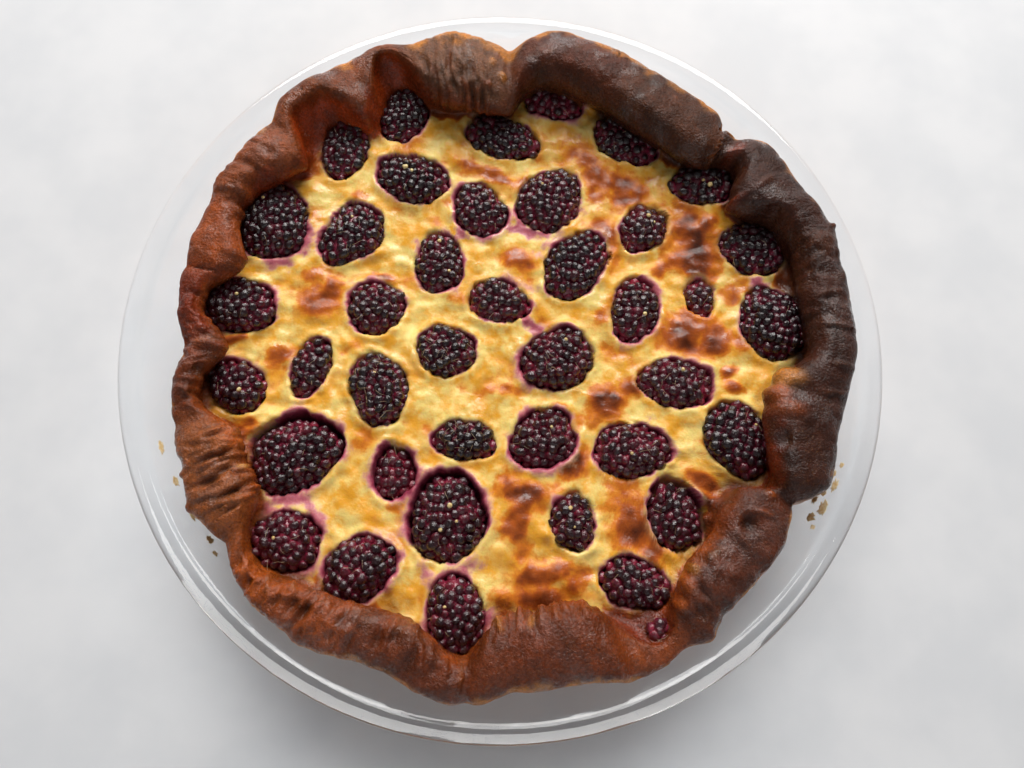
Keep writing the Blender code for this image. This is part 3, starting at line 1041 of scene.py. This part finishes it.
@dataclass
class Clafoutis:
    """The custard with its rolled crust: one closed skin of rings, from its middle to its base."""

    custard_rings: int = 92
    crust_rings: int = 52
    hidden_rings: int = 12
    foot_band: float = 9.0

    def lay_rings(self, grid: np.ndarray) -> tuple[np.ndarray, np.ndarray]:
        """Lays a square grid's points out as rings.

        Args:
            grid: Whole x and y of each point, with the middle at nought.

        Returns:
            The ring of each point and its angle in degrees.
        """
        i, j = grid.T
        ring = np.maximum(np.abs(i), np.abs(j))
        wide = np.abs(i) >= np.abs(j)
        with np.errstate(divide="ignore", invalid="ignore"):
            angle = np.where(wide, 45 * j / i + 180 * (i < 0), 90 - 45 * i / j + 180 * (j < 0))
        return ring, np.nan_to_num(angle)

    def section(self, angle: np.ndarray) -> np.ndarray:
        """The crust's section at angles: eleven pairs of radius and height, from the custard out.

        Args:
            angle: Angles in degrees.

        Returns:
            Eleven pairs for each angle, in millimetres.
        """
        outer = Around(*zip(*OUTER_EDGE), 0.7).at(angle)
        nose = Around(*zip(*INNER_EDGE), 0.8).at(angle)
        level_nose = by_puff([puff.nose for puff in PUFFS], 1.2).at(angle)
        foot = by_puff([puff.foot for puff in PUFFS], 1.2).at(angle) + (nose - level_nose) * 0.5
        crest = by_puff([puff.crest for puff in PUFFS], 0.8).at(angle)
        for puff in PUFFS:
            off = apart(angle, puff.end)
            pinch = puff.crease * (0.45 * bell(off, 1.3) + 0.4 * bell(off, 4.0))
            crest = crest - pinch * 0.9
            outer = outer - puff.crease * 0.12 * bell(off, 1.0)
        start = foot - self.foot_band
        turn = np.radians(angle)
        level = custard_level(start * np.cos(turn), start * np.sin(turn))
        nose = np.minimum(nose, outer - 6)
        rise = crest - level
        summit = nose + (outer - nose) * 0.46
        shoulder = level + rise * 0.58
        outer = np.minimum(outer, wall_radius(shoulder) - GLASS_GAP)
        lift_off = outer - 1
        lift_height = GLASS + (lift_off + GLASS_GAP - WALL_FOOT_RADIUS) / WALL_LEAN
        lift_height = np.minimum(lift_height, shoulder - 3)
        lift_off = np.minimum(lift_off, wall_radius(lift_height) - GLASS_GAP)
        low = GLASS + 6.0
        low_radius = wall_radius(low) - GLASS_GAP
        flat = np.ones_like(angle)
        rows = (
            (start, level), (foot, level - 0.5), (nose, level + rise * 0.55),
            (nose + (summit - nose) * 0.42, level + rise * 0.93), (summit, crest),
            (outer - (outer - summit) * 0.28, level + rise * 0.88), (outer, shoulder),
            (lift_off, lift_height), ((lift_off + low_radius) / 2, (lift_height + low) / 2),
            (low_radius * flat, low * flat), ((BASE_RADIUS - 1) * flat, (GLASS + GLASS_GAP) * flat),
        )
        return np.stack([np.stack(row, axis=-1) for row in rows], axis=1)

    @staticmethod
    def sweep(points: np.ndarray, place: np.ndarray) -> np.ndarray:
        """Points on smooth curves, each through its own row of points.

        Args:
            points: A row of points for each curve.
            place: Where on its curve each point lies, counted in points from the first.

        Returns:
            One point for each curve.
        """
        last = points.shape[1] - 1
        index = np.clip(place.astype(int), 0, last - 1)
        t = (place - index)[:, None]
        rows = np.arange(len(place))
        before, a, b, after = (points[rows, np.clip(index + k, 0, last)] for k in (-1, 0, 1, 2))
        return (a * (2 * t**3 - 3 * t**2 + 1) + (b - before) / 2 * (t**3 - 2 * t**2 + t)
                + b * (3 * t**2 - 2 * t**3) + (after - a) / 2 * (t**3 - t**2))

    def smooth_form(self, ring: np.ndarray, angle: np.ndarray) -> tuple[np.ndarray, np.ndarray]:
        """Places the rings without their small relief.

        Args:
            ring: Ring of each point.
            angle: Angle of each point.

        Returns:
            Points in millimetres, and each one's place along the crust's section, below nought on
            the custard.
        """
        sections = self.section(angle)
        shown = (ring - self.custard_rings) / self.crust_rings * GLASS_PLACE
        past = ring - self.custard_rings - self.crust_rings
        hidden = GLASS_PLACE + past / self.hidden_rings * (LAST_PLACE - GLASS_PLACE)
        place = np.where(past <= 0, shown, hidden)
        swept = self.sweep(sections, np.clip(place, 0, LAST_PLACE))
        radius = np.where(place < 0, sections[:, 0, 0] * ring / self.custard_rings, swept[:, 0])
        turn = np.radians(angle)
        x, y = radius * np.cos(turn), radius * np.sin(turn)
        z = np.where(place < 0, custard_level(x, y), swept[:, 1])
        return np.stack([x, y, z], axis=1), place

    def pockets(self, points: np.ndarray) -> tuple[np.ndarray, np.ndarray, np.ndarray]:
        """How the custard gives way to the berries and swells round them.

        Args:
            points: Points of the custard in millimetres.

        Returns:
            How far each point drops, how stained it is and how pale its frill is there.
        """
        x, y = points[:, 0], points[:, 1]
        flat = points * (1, 1, 0)
        wobble = grain(flat, 3.4, 2, 3.1) * 0.75
        spread = np.clip(0.6 + 1.3 * grain(flat, 10.0, 2, 8.3), 0.1, 2.2)
        drop, lip, stained, frill = (np.zeros_like(x) for _ in range(4))
        for berry in BERRIES:
            off = berry.away(x, y, berry.gap)
            near = np.abs(off) < 20
            ragged = off[near] + wobble[near] * 0.95 + berry.inset
            bowl = berry.width * BERRY_BELOW + 0.6
            inside = np.clip(-ragged / (berry.width / 2), 0, 1)
            sunk = bowl * np.sqrt(1 - (1 - inside) ** 2) + berry.depth * ease(-ragged, 0, 0.9)
            depth = np.where(ragged < 0, sunk, 0)
            drop[near] = np.maximum(drop[near], depth + 0.5 * bell(np.maximum(ragged, 0), 0.7))
            lip[near] = np.maximum(lip[near], bell(ragged - 1.6, 1.4) * (0.6 + 0.25 * spread[near]))
            reach = np.maximum(berry.juice * spread[near], 0.2) * 1.2
            strong = np.clip(0.3 + 0.8 * spread[near] * min(berry.juice, 1.2), 0, 0.85)
            juice = strong * np.exp(-np.maximum(ragged - 0.3, 0) / reach)
            stained[near] = np.maximum(stained[near], juice)
            pale = bell(ragged - 1.1, 0.9) * np.clip(0.35 + 1.6 * wobble[near], 0, 1)
            frill[near] = np.maximum(frill[near], pale)
        for vein in VEINS:
            off = beside(x, y, vein) + wobble * 2.2 + 0.8 * spread - 0.4
            stained = np.maximum(stained, 0.75 * vein.strength * bell(np.maximum(off, 0), vein.width))
        return drop - lip, stained, frill

    def relief(self, points: np.ndarray, angle: np.ndarray,
               place: np.ndarray) -> tuple[np.ndarray, np.ndarray, np.ndarray]:
        """The small relief of the crust, with its browns and the light and shade painted into them.

        Args:
            points: Points in millimetres.
            angle: Their angles.
            place: Their places along the crust's section.

        Returns:
            How far each point of the crust swells, its colour and its gloss.
        """
        inside, top, rim = (
            by_puff([getattr(puff, part).colour for puff in PUFFS], 1.0).at(angle)
            for part in ("inside", "top", "rim")
        )
        ragged = place + grain(points, 6.0, 2, 1.7) * 0.45
        bake = inside + (top - inside) * ease(ragged, 2.0, 3.3)[:, None]
        bake = bake + (rim - bake) * ease(ragged, 5.3, 6.4)[:, None]
        golden = np.array(Bake.GOLD.colour)
        far = np.sin(np.radians(angle))
        edge = ragged - 5.8 + 1.2 * np.clip(far, 0, 1) + 0.6 * np.clip(-far, 0, 1)
        bake = bake + (golden - bake) * (ease(edge, 0, 0.5) * 0.85)[:, None]
        # Painted light and shade: the crust is made lighter round 150°, where more of the window light
        # falls, and darker round 57°.
        for middle, width, lighter in ((150, 22, 0.35), (57, 14, -0.22)):
            bake = bake * (1 + lighter * bell(apart(angle, middle), width))[:, None]
        swell = grain(points, 16.0, 1, 5.5) * 0.6 + grain(points, 5.0, 1, 2.2) * 0.24
        swell -= 0.45 * (1 - np.abs(grain(points, 11.0, 2, 9.1))) ** 10
        gloss = 0.12 * ease(2.6 - ragged, 0, 1) + 0.7 * ease(grain(points, 10.0, 3, 3.3), 0.1, 0.7)
        radius = np.hypot(points[:, 0], points[:, 1])
        for ridge in RIBS:
            share = (angle - ridge.start) / (ridge.end - ridge.start)
            here = ease(share, 0, 0.12) * ease(1 - share, 0, 0.12) * bell(place - ridge.place, 1.7)
            stretched = np.stack([share * ridge.count * 1.6, radius / 13, place * 0.2], axis=1)
            wave = 1 - 3.2 * np.abs(grain(stretched, 1.0, 2, ridge.start))
            swell += wave * ridge.rise * here
            # Painted light and shade: each rib's brown is made lighter on its top and darker in its
            # creases.
            bake = bake * (1 + 0.2 * wave * here * min(ridge.rise, 1.0))[:, None]
        above = ease(place, 1.3, 2.0) * ease(7.2 - place, 0, 0.6)
        for mark in MARKS:
            round_off = np.radians(apart(angle, mark.angle)) * mark.radius
            out_off = radius - mark.radius
            near = (np.abs(round_off) < 16) & (np.abs(out_off) < 16) & (above > 0)
            along, across = turned(out_off[near], round_off[near], mark.turn)
            far_off = np.hypot(along / (mark.length / 2), across / (mark.width / 2))
            form = bell(far_off**1.5, 1.0) * above[near]
            swell[near] += mark.rise * form
            gloss[near] += mark.gloss * form
            # Lays the mark's brown on; in pits, cracks and hollows this darker brown is partly painted
            # shade.
            if mark.bake:
                share = np.minimum(form * 1.4, 1)[:, None] * mark.strength
                bake[near] += (np.array(mark.bake.colour) - bake[near]) * share
        return swell, np.clip(bake, 0.002, 1), gloss

    def browning(self, points: np.ndarray, foot: np.ndarray) -> tuple[np.ndarray, np.ndarray]:
        """How brown the custard is, and how far its skin has risen there.

        Args:
            points: Points of the custard in millimetres.
            foot: Radius at which the crust stands, at each point's angle.

        Returns:
            Brownness from 0 to 1, and the rise in millimetres.
        """
        x, y = points[:, 0], points[:, 1]
        flat = points * (1, 1, 0)
        ragged = grain(flat, 9.0, 4, 6.4) * 0.42
        mottle = grain(flat, 4.5, 2, 1.1)
        brown_tone = 0.09 + 0.2 * grain(flat, 16.0, 2, 2.9)
        rise = np.zeros_like(x)
        for patch in PATCHES:
            along, across = turned(x - patch.x, y - patch.y, patch.turn)
            far = np.hypot(along / (patch.length / 2), across / (patch.width / 2)) + ragged
            form = 1 - ease(far, 0.25, 1.4)
            brown_tone = np.maximum(brown_tone, patch.brown * form * (1 + 0.25 * mottle))
            brown_tone = np.maximum(brown_tone, 0.45 * patch.brown * (1 - ease(far, 0.8, 2.1)))
            rise = np.maximum(rise, patch.rise * form * (1 + 0.25 * mottle))
        for fold in FOLDS:
            form = bell(beside(x, y, fold) + ragged, fold.width / 2)
            brown_tone = np.maximum(brown_tone, fold.brown * form)
            rise = np.maximum(rise, fold.rise * form)
        edge = foot - np.hypot(x, y) + ragged * 8
        brown_tone = np.maximum(brown_tone, 0.7 * (1 - ease(edge, 0, 3)))
        return brown_tone, rise

    def build(self) -> bpy.types.Object:
        """Returns:
            The clafoutis's object.
        """
        half = self.custard_rings + self.crust_rings + self.hidden_rings
        form = bmesh.new()
        bmesh.ops.create_grid(form, x_segments=2 * half, y_segments=2 * half, size=half)
        bmesh.ops.contextual_create(form, geom=[edge for edge in form.edges if edge.is_boundary])
        piece = finished("custard_and_crust", form, BakedFinish().make())
        mesh = piece.data
        count = len(mesh.vertices)
        grid = np.empty(count * 3)
        mesh.vertices.foreach_get("co", grid)
        ring, angle = self.lay_rings(np.rint(grid.reshape(-1, 3)[:, :2]))
        points, place = self.smooth_form(ring, angle)
        mesh.vertices.foreach_set("co", (points * MM).ravel())
        mesh.update()
        normals = np.empty(count * 3)
        mesh.vertices.foreach_get("normal", normals)
        normals = normals.reshape(-1, 3)
        if normals[ring == 0][0, 2] < 0:
            mesh.flip_normals()
            normals = -normals

        crusty = ease(place + grain(points, 7.0, 2, 7.7) * 0.35, 0.25, 1.25)
        custard = 1 - ease(place, 1.0, 1.7)
        drop, stained, frill = self.pockets(points)
        foot = self.section(angle)[:, 1, 0]
        brown_tone, rise = self.browning(points, foot)
        swell, bake, gloss = self.relief(points, angle, place)
        curds = grain(points, 8.0, 2, 4.4) * 0.9 + grain(points, 3.4, 1, 5.9) * 0.3
        open_top = 1 - ease(drop, 0.3, 1.5)
        shown = 1 - ease(place, GLASS_PLACE, 7.6)
        moved = swell * ease(place, 0.4, 1.6) * shown + (curds + rise) * custard * open_top
        points = points + normals * moved[:, None]
        points[:, 2] -= drop * custard
        points[:, 2] = np.clip(points[:, 2], GLASS + GLASS_GAP, CRUST_TOP)
        radius = np.hypot(points[:, 0], points[:, 1])
        room = np.minimum(1, (wall_radius(points[:, 2]) - GLASS_GAP * 0.7) / np.maximum(radius, 1e-6))
        points[:, :2] *= room[:, None]
        mesh.vertices.foreach_set("co", (points * MM).ravel())
        mesh.update()
        side = ease(place, 6.6, 7.6)
        golden = np.array(Bake.GOLD.colour)
        bake = bake + (golden - bake) * side[:, None] * 0.8
        paint(mesh, "bake", bake)
        paint(mesh, "crusty", crusty)
        # Painted shade: the custard is painted browner in the hollows between its curds.
        paint(mesh, "brown_tone", np.clip(brown_tone + 0.14 * np.clip(-curds, 0, 1.2), 0, 1))
        paint(mesh, "stained", np.clip(stained * custard, 0, 1))
        paint(mesh, "frill", frill * custard)
        far = np.sin(np.radians(angle))
        satin = 0.3 - 0.28 * np.clip(far, 0, 1) * ease(place, 2.2, 3.6) + 0.22 * np.clip(-far, 0, 1)
        gloss += satin * crusty + 0.14 * (1 - crusty) * ease(brown_tone, 0.3, 0.6)
        paint(mesh, "glossy", np.clip(gloss, 0, 1))
        declare(piece, "baked_custard", "clafoutis")
        return piece


@dataclass
class SunkenBerry:
    """One berry: a crimson core that shows its upper side, covered with beads."""

    number: int
    berry: Berry
    bead_gap: float = 3.45
    bead_radius: float = 2.1

    def half_axes(self) -> np.ndarray:
        """Half its length, width and height above and below its middle, where beads are centred.

        Returns:
            The four in millimetres.
        """
        berry = self.berry
        return np.array([berry.length / 2 - 1.3, berry.width / 2 - 1.3, berry.width * BERRY_ABOVE - 0.6,
                         berry.width * BERRY_BELOW - 1.3])

    def axes_at(self, points: np.ndarray) -> np.ndarray:
        """Three half axes for each point, by the side of the middle it is on.

        Args:
            points: Points measured from the berry's middle.

        Returns:
            A row of three for each point.
        """
        long, wide, above, below = self.half_axes()
        high = np.where(points[:, 2] > 0, above, below)
        return np.stack([np.full_like(high, long), np.full_like(high, wide), high], axis=1)

    def onto(self, points: np.ndarray) -> np.ndarray:
        """Moves points onto the surface where the beads are centred."""
        scaled = points / self.axes_at(points)
        return points / np.linalg.norm(scaled, axis=1)[:, None]

    def bead_middles(self, chance: np.random.Generator) -> np.ndarray:
        """Spreads the beads' middles evenly over the surface.

        Args:
            chance: Where their first places come from.

        Returns:
            A point for each bead, in millimetres.
        """
        half = self.half_axes()
        mean = (half[2] + half[3]) / 2
        sides = (half[0] * half[1]) ** 1.6 + (half[0] * mean) ** 1.6 + (half[1] * mean) ** 1.6
        area = 4 * math.pi * (sides / 3) ** (1 / 1.6)
        count = int(area / (0.87 * self.bead_gap**2))
        points = self.onto(chance.normal(size=(count, 3)) * half[:3])
        for _ in range(30):
            apart = points[:, None] - points[None]
            away = np.linalg.norm(apart, axis=2) + 1e-6
            push = np.clip(1 - away / (1.35 * self.bead_gap), 0, 1)
            np.fill_diagonal(push, 0)
            points = self.onto(points + (apart / away[:, :, None] * push[:, :, None]).sum(1) * 0.7)
        return points

    def facing(self, points: np.ndarray) -> np.ndarray:
        """Which way the surface faces at points."""
        out = points / self.axes_at(points) ** 2
        return out / np.linalg.norm(out, axis=1)[:, None]

    def place(self) -> Matrix:
        """Where its middle lies in the dish, in metres, and how it is turned.

        Returns:
            The matrix.
        """
        berry = self.berry
        level = float(custard_level(np.array(berry.x), np.array(berry.y)))
        spot = Vector((berry.x, berry.y, level - berry.depth)) * MM
        return Matrix.Translation(spot) @ Matrix.Rotation(math.radians(berry.turn), 4, "Z")

    def build(self, finish: bpy.types.Material) -> bpy.types.Object:
        """Args:
            finish: The berries' material.

        Returns:
            The berry's object.
        """
        chance = np.random.default_rng(100 + self.number)
        middles = self.bead_middles(chance)
        middles = middles[middles[:, 2] > -0.35 * self.half_axes()[3]]
        form = bmesh.new()
        juice = form.verts.layers.float.new("juice")
        tone = form.verts.layers.float.new("tone")
        core = bmesh.ops.create_icosphere(form, subdivisions=3, radius=1.0)["verts"]
        half = self.half_axes()
        for vert in core:
            high = half[2] if vert.co.z > 0 else half[3]
            x, y, z = vert.co
            vert.co = Vector((x * (half[0] - 0.3), y * (half[1] - 0.3), z * (high - 0.2)))
            vert[juice] = 0.12
            vert[tone] = self.berry.crimson
        for middle, out in zip(middles, self.facing(middles)):
            radius = self.bead_radius * chance.uniform(0.78, 1.1)
            lean = aimed(Vector(chance.normal(size=3)))
            sizes = [chance.uniform(*limits) for limits in ((0.78, 1.04), (0.88, 1.1), (0.8, 1.1))]
            squash = Matrix.Diagonal((*sizes, 1))
            spot = Matrix.Translation(Vector(middle + out * chance.uniform(-0.8, 0.3)))
            bead = bmesh.ops.create_uvsphere(form, u_segments=8, v_segments=5, radius=radius,
                                             matrix=spot @ lean @ squash)
            tint = self.berry.crimson * chance.uniform(0.4, 1.6)
            tint = min(1.0, tint + (0.5 if chance.random() < 0.1 else 0.0))
            for vert in bead["verts"]:
                rise = (vert.co - Vector(middle)).dot(Vector(out)) / radius
                vert.co += noise.noise_vector(vert.co / 1.4 + Vector((self.number, 0, 0))) * 0.42
                vert[juice] = min(1.0, max(0.0, 0.14 + 0.95 * rise))
                vert[tone] = tint
        turns = np.array([math.atan2(vert.co.y / half[1], vert.co.x / half[0])
                          for vert in form.verts])
        for vert, bulge in zip(form.verts, self.berry.bulge(turns).tolist()):
            vert.co.xy *= bulge
        bmesh.ops.transform(form, matrix=self.place() @ Matrix.Scale(MM, 4), verts=form.verts)
        node = f"berry_{self.number:02d}"
        piece = finished(f"sunken_{node}", form, finish)
        declare(piece, "dark_berry", node)
        return piece

    def top_spot(self, chance: np.random.Generator, edge: float) -> tuple[Vector, Vector]:
        """A chance place on the upper side.

        Args:
            chance: Where the chance comes from.
            edge: How far out it may lie, from 0 for the middle to 1 for the rim.

        Returns:
            The place and the way the surface faces there, in the dish, in metres.
        """
        turn, out = chance.uniform(0, 2 * math.pi), edge * math.sqrt(chance.random())
        spot = self.onto(np.array([[math.cos(turn) * out, math.sin(turn) * out, 1e-3]])
                         * self.half_axes()[:3] + (0, 0, self.half_axes()[2] * math.sqrt(1 - out**2)))
        facing = self.facing(spot)[0]
        place = self.place()
        return place @ (Vector(spot[0]) * MM), (place.to_3x3() @ Vector(facing)).normalized()


@dataclass
class BerryHairs:
    """The fine dry hairs that lie between the beads of the berries, all in one piece."""

    length: float = 3.2
    thickness: float = 0.07
    joints: int = 3

    def strand(self, form: bmesh.types.BMesh, root: Vector, facing: Vector,
               chance: np.random.Generator) -> None:
        """Adds one hair that leans over and curls.

        Args:
            form: The mesh it is added to.
            root: Where it stands.
            facing: Which way the berry faces there.
            chance: Where its lean and curl come from.
        """
        lean = Vector(chance.normal(size=3))
        along = (lean - facing * lean.dot(facing)).normalized()
        run = (along + facing * chance.uniform(0.1, 0.6)).normalized()
        start = Matrix.Translation(root + facing * 1.1 * MM) @ aimed(run)
        made = bmesh.ops.create_circle(form, segments=3, radius=self.thickness * MM, cap_ends=True,
                                       matrix=start)
        verts = made["verts"]
        edges = list({edge for vert in verts for edge in vert.link_edges})
        step = self.length * chance.uniform(0.6, 1.4) / self.joints * MM
        for _ in range(self.joints):
            grown = bmesh.ops.extrude_edge_only(form, edges=edges)["geom"]
            verts = [item for item in grown if isinstance(item, bmesh.types.BMVert)]
            edges = [item for item in grown if isinstance(item, bmesh.types.BMEdge) and not item.is_manifold
                     and all(vert in verts for vert in item.verts)]
            bmesh.ops.translate(form, verts=verts, vec=run * step)
            run = run - facing * chance.uniform(0.1, 0.5) + Vector(chance.normal(size=3)) * 0.2
            run.normalize()

    def build(self) -> bpy.types.Object:
        """Returns:
            The hairs' object.
        """
        chance = np.random.default_rng(7)
        form = bmesh.new()
        for number, berry in enumerate(BERRIES, 1):
            holder = SunkenBerry(number, berry)
            for _ in range(berry.hairs if berry.hairs > 20 else berry.hairs // 2):
                self.strand(form, *holder.top_spot(chance, 0.85), chance)
        bmesh.ops.recalc_face_normals(form, faces=form.faces)
        finish = PlainFinish("dry_hair", "d2bc9c", "9a7a5c", 1.5, 0.5, 0.02)
        piece = finished("berry_hairs", form, finish.make())
        declare(piece, "dark_berry")
        return piece


@dataclass(frozen=True)
class Bit:
    """A crumb of custard left on a berry: its middle from above, its height and its size."""

    x: float
    y: float
    z: float
    size: float


BITS = tuple(Bit(*row) for row in (
    (-88, 49, 35.5, 1.2), (-38.5, 65, 33.2, 2.2), (-36, 63.5, 33.4, 1.5), (-24, 36, 33.2, 1.5),
    (-20, 25, 32.4, 1.1), (51, 50.5, 31.6, 1.6), (53, 48, 31.3, 1.2), (-93, 12, 34.6, 1.3),
    (73, 62.5, 34.6, 2.0), (70.5, 64, 34.8, 1.2), (62.5, -8, 32.6, 1.5), (49.5, 12, 32.4, 1.5),
    (-43, -14, 33.2, 1.3), (-88, -22, 33.4, 1.6), (-14.5, -58, 33.6, 1.8), (-17, -66, 33.2, 1.4),
    (-12, -63, 33.2, 1.1), (25, -57, 32.2, 1.5), (26.5, -63, 32.2, 1.1), (18, -30, 31.8, 1.2),
    (-56, 44, 33.4, 1.1), (45, -38, 32.8, 1.1), (-70, -71, 35.2, 1.2), (86, -27, 35.4, 1.0),
    (22, 1, 33.2, 1.2), (-14, -90, 35.2, 1.1), (12, 60, 34.2, 1.0), (38, -101, 33.0, 2.4),
))


@dataclass
class CreamBits:
    """The pale crumbs of custard on some berries, all in one piece."""

    def build(self) -> bpy.types.Object:
        """Returns:
            The crumbs' object.
        """
        form = bmesh.new()
        for bit in BITS:
            made = bmesh.ops.create_icosphere(form, subdivisions=2, radius=bit.size / 2 * MM)["verts"]
            for vert in made:
                spot = vert.co / MM * 0.9 + Vector((bit.x, bit.y, 0))
                vert.co += noise.noise_vector(spot) * bit.size * 0.16 * MM
                vert.co.z *= 0.7
            bmesh.ops.translate(form, verts=made, vec=Vector((bit.x, bit.y, bit.z)) * MM)
        finish = PlainFinish("cream_crumb", "ecd9a0", "c9a25e", 0.7, 0.4, 0.08)
        piece = finished("cream_bits", form, finish.make())
        declare(piece, "baked_custard")
        return piece


@dataclass(frozen=True)
class Smear:
    """Residue on the glass: its angle, its height, its length round the wall and its height up."""

    angle: float
    height: float
    length: float
    tall: float


SMEARS = tuple(Smear(*row) for row in (
    (331.5, 31.5, 3.2, 2.2), (333.5, 33.6, 5.0, 2.4), (336, 32.0, 2.2, 1.6), (337.5, 34.4, 4.0, 1.8),
    (339.5, 33.0, 2.4, 1.4), (341, 34.6, 1.8, 1.2), (334.6, 30.2, 3.0, 1.5), (330, 33.4, 1.6, 1.4),
    (201, 32.6, 4.2, 1.5), (207, 31.2, 3.4, 1.6), (213, 30.4, 4.6, 1.8), (218, 29.4, 3.0, 1.6),
    (220.5, 30.4, 2.0, 1.2),
))


@dataclass
class BakedOnResidue:
    """Thin dried flakes of custard on the inside of the glass, all in one piece."""

    thickness: float = 0.05

    def build(self) -> bpy.types.Object:
        """Returns:
            The flakes' object.
        """
        form = bmesh.new()
        lean = math.atan(WALL_LEAN)
        for number, smear in enumerate(SMEARS):
            made = bmesh.ops.create_grid(form, x_segments=13, y_segments=11, size=0.5)["verts"]
            for vert in made:
                x, y = vert.co.x, vert.co.y
                reach = max(abs(x), abs(y)) / max(math.hypot(x, y), 1e-6)
                ragged = 1 + 0.75 * noise.noise(Vector((x * 4.2 + number * 3, y * 4.2, 0)))
                across = x * reach * smear.length * ragged
                up = y * reach * smear.tall / math.cos(lean) * ragged
                vert.co = Vector((across, up, 0.12)) * MM
            wall = Vector((wall_radius(smear.height) - 0.1, 0, smear.height)) * MM
            stand = (Matrix.Rotation(math.radians(smear.angle), 4, "Z") @ Matrix.Translation(wall)
                     @ Matrix.Rotation(-(math.pi / 2 - lean), 4, "Y")
                     @ Matrix.Rotation(math.pi / 2, 4, "Z"))
            bmesh.ops.transform(form, matrix=stand, verts=made)
        bmesh.ops.recalc_face_normals(form, faces=form.faces)
        for face in form.faces:
            if face.normal.dot(face.calc_center_median() * Vector((1, 1, 0))) > 0:
                face.normal_flip()
        bmesh.ops.solidify(form, geom=form.faces[:], thickness=self.thickness * MM)
        finish = PlainFinish("dried_custard", "f2e2bc", "dcbf85", 0.9, 0.5, 0.05)
        piece = finished("baked_on_residue", form, finish.make())
        declare(piece, "baked_custard")
        return piece


@dataclass
class Studio:
    """The pale floor, the soft light from the far side and the camera."""

    floor_size: float = 3.0
    window_power: float = 33.0
    fill_power: float = 4.5
    sky: float = 0.16

    def floor(self) -> None:
        """Lays the plain pale floor a hair under the dish."""
        form = bmesh.new()
        bmesh.ops.create_grid(form, x_segments=1, y_segments=1, size=self.floor_size / 2)
        bmesh.ops.translate(form, verts=form.verts, vec=(0, 0, -0.3 * MM))
        w = Wiring("pale_floor")
        w.finish(Base_Color=w.mix(w.span(w.speckle(40, 3), 0.3, 0.7), "dfe0e3", "e8e8ea"), Roughness=0.6)
        piece = finished("floor", form, w.material)
        LOG.info("floor laid")

    def softbox(self, name: str, place: tuple[float, float, float], size: tuple[float, float],
                power: float, colour: tuple[float, float, float]) -> None:
        """Hangs one soft light that faces the dish.

        Args:
            name: Its name.
            place: Where it hangs, in metres.
            size: Its width and height in metres.
            power: Its power in watts.
            colour: Its colour.
        """
        data = bpy.data.lights.new(name, "AREA")
        data.shape = "RECTANGLE"
        data.size, data.size_y = size
        data.energy = power
        data.color = colour
        light = bpy.data.objects.new(name, data)
        light.location = place
        aim = Vector((0, 0, 0.02)) - light.location
        light.rotation_euler = aim.to_track_quat("-Z", "Y").to_euler()
        bpy.context.scene.collection.objects.link(light)

    def lights(self) -> None:
        """Hangs a wide window light at the far side, a weak one in front, and fills with even light."""
        self.softbox("window", (0.05, 1.2, 0.95), (1.4, 0.85), self.window_power, (1.0, 0.985, 0.96))
        self.softbox("fill", (0.0, -1.5, 0.6), (1.6, 0.9), self.fill_power, (0.93, 0.97, 1.0))
        world = bpy.data.worlds.new("even_light")
        world.use_nodes = True
        world.node_tree.nodes["Background"].inputs["Color"].default_value = (0.96, 0.98, 1.0, 1.0)
        world.node_tree.nodes["Background"].inputs["Strength"].default_value = self.sky
        bpy.context.scene.world = world
        LOG.info("lights hung")

    def camera(self) -> None:
        """Sets the camera where the photograph was taken from."""
        data = bpy.data.cameras.new("camera")
        data.sensor_width = 36.0
        data.lens = 29.11
        data.clip_start = 0.001
        camera = bpy.data.objects.new("camera", data)
        across = Vector((0.99905853, 0.04173367, 0.01184684))
        up = Vector((-0.04338257, 0.96108612, 0.27282123))
        back = Vector((0.0, -0.27307832, 0.9619918))
        turn = Matrix((across, up, back)).transposed().to_4x4()
        camera.matrix_world = Matrix.Translation((0.00405517, -0.09280122, 0.3039178)) @ turn
        bpy.context.scene.collection.objects.link(camera)
        bpy.context.scene.camera = camera
        bpy.context.scene.view_settings.view_transform = "Standard"
        LOG.info("camera set")

    def build(self) -> None:
        """Sets up floor, lights and camera."""
        self.floor()
        self.lights()
        self.camera()


def main() -> None:
    """Builds the dish, the clafoutis, its berries and the small things on them."""
    logging.basicConfig(level=logging.INFO, format="%(name)s %(relativeCreated)d ms: %(message)s")
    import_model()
    noise.seed_set(NOISE_SEED)
    Studio().build()
    PieDish().build()
    Clafoutis().build()
    skin = BerryFinish().make()
    for number, berry in enumerate(BERRIES, 1):
        SunkenBerry(number, berry).build(skin)
    BerryHairs().build()
    CreamBits().build()
    BakedOnResidue().build()


if __name__ == "__main__":
    main()
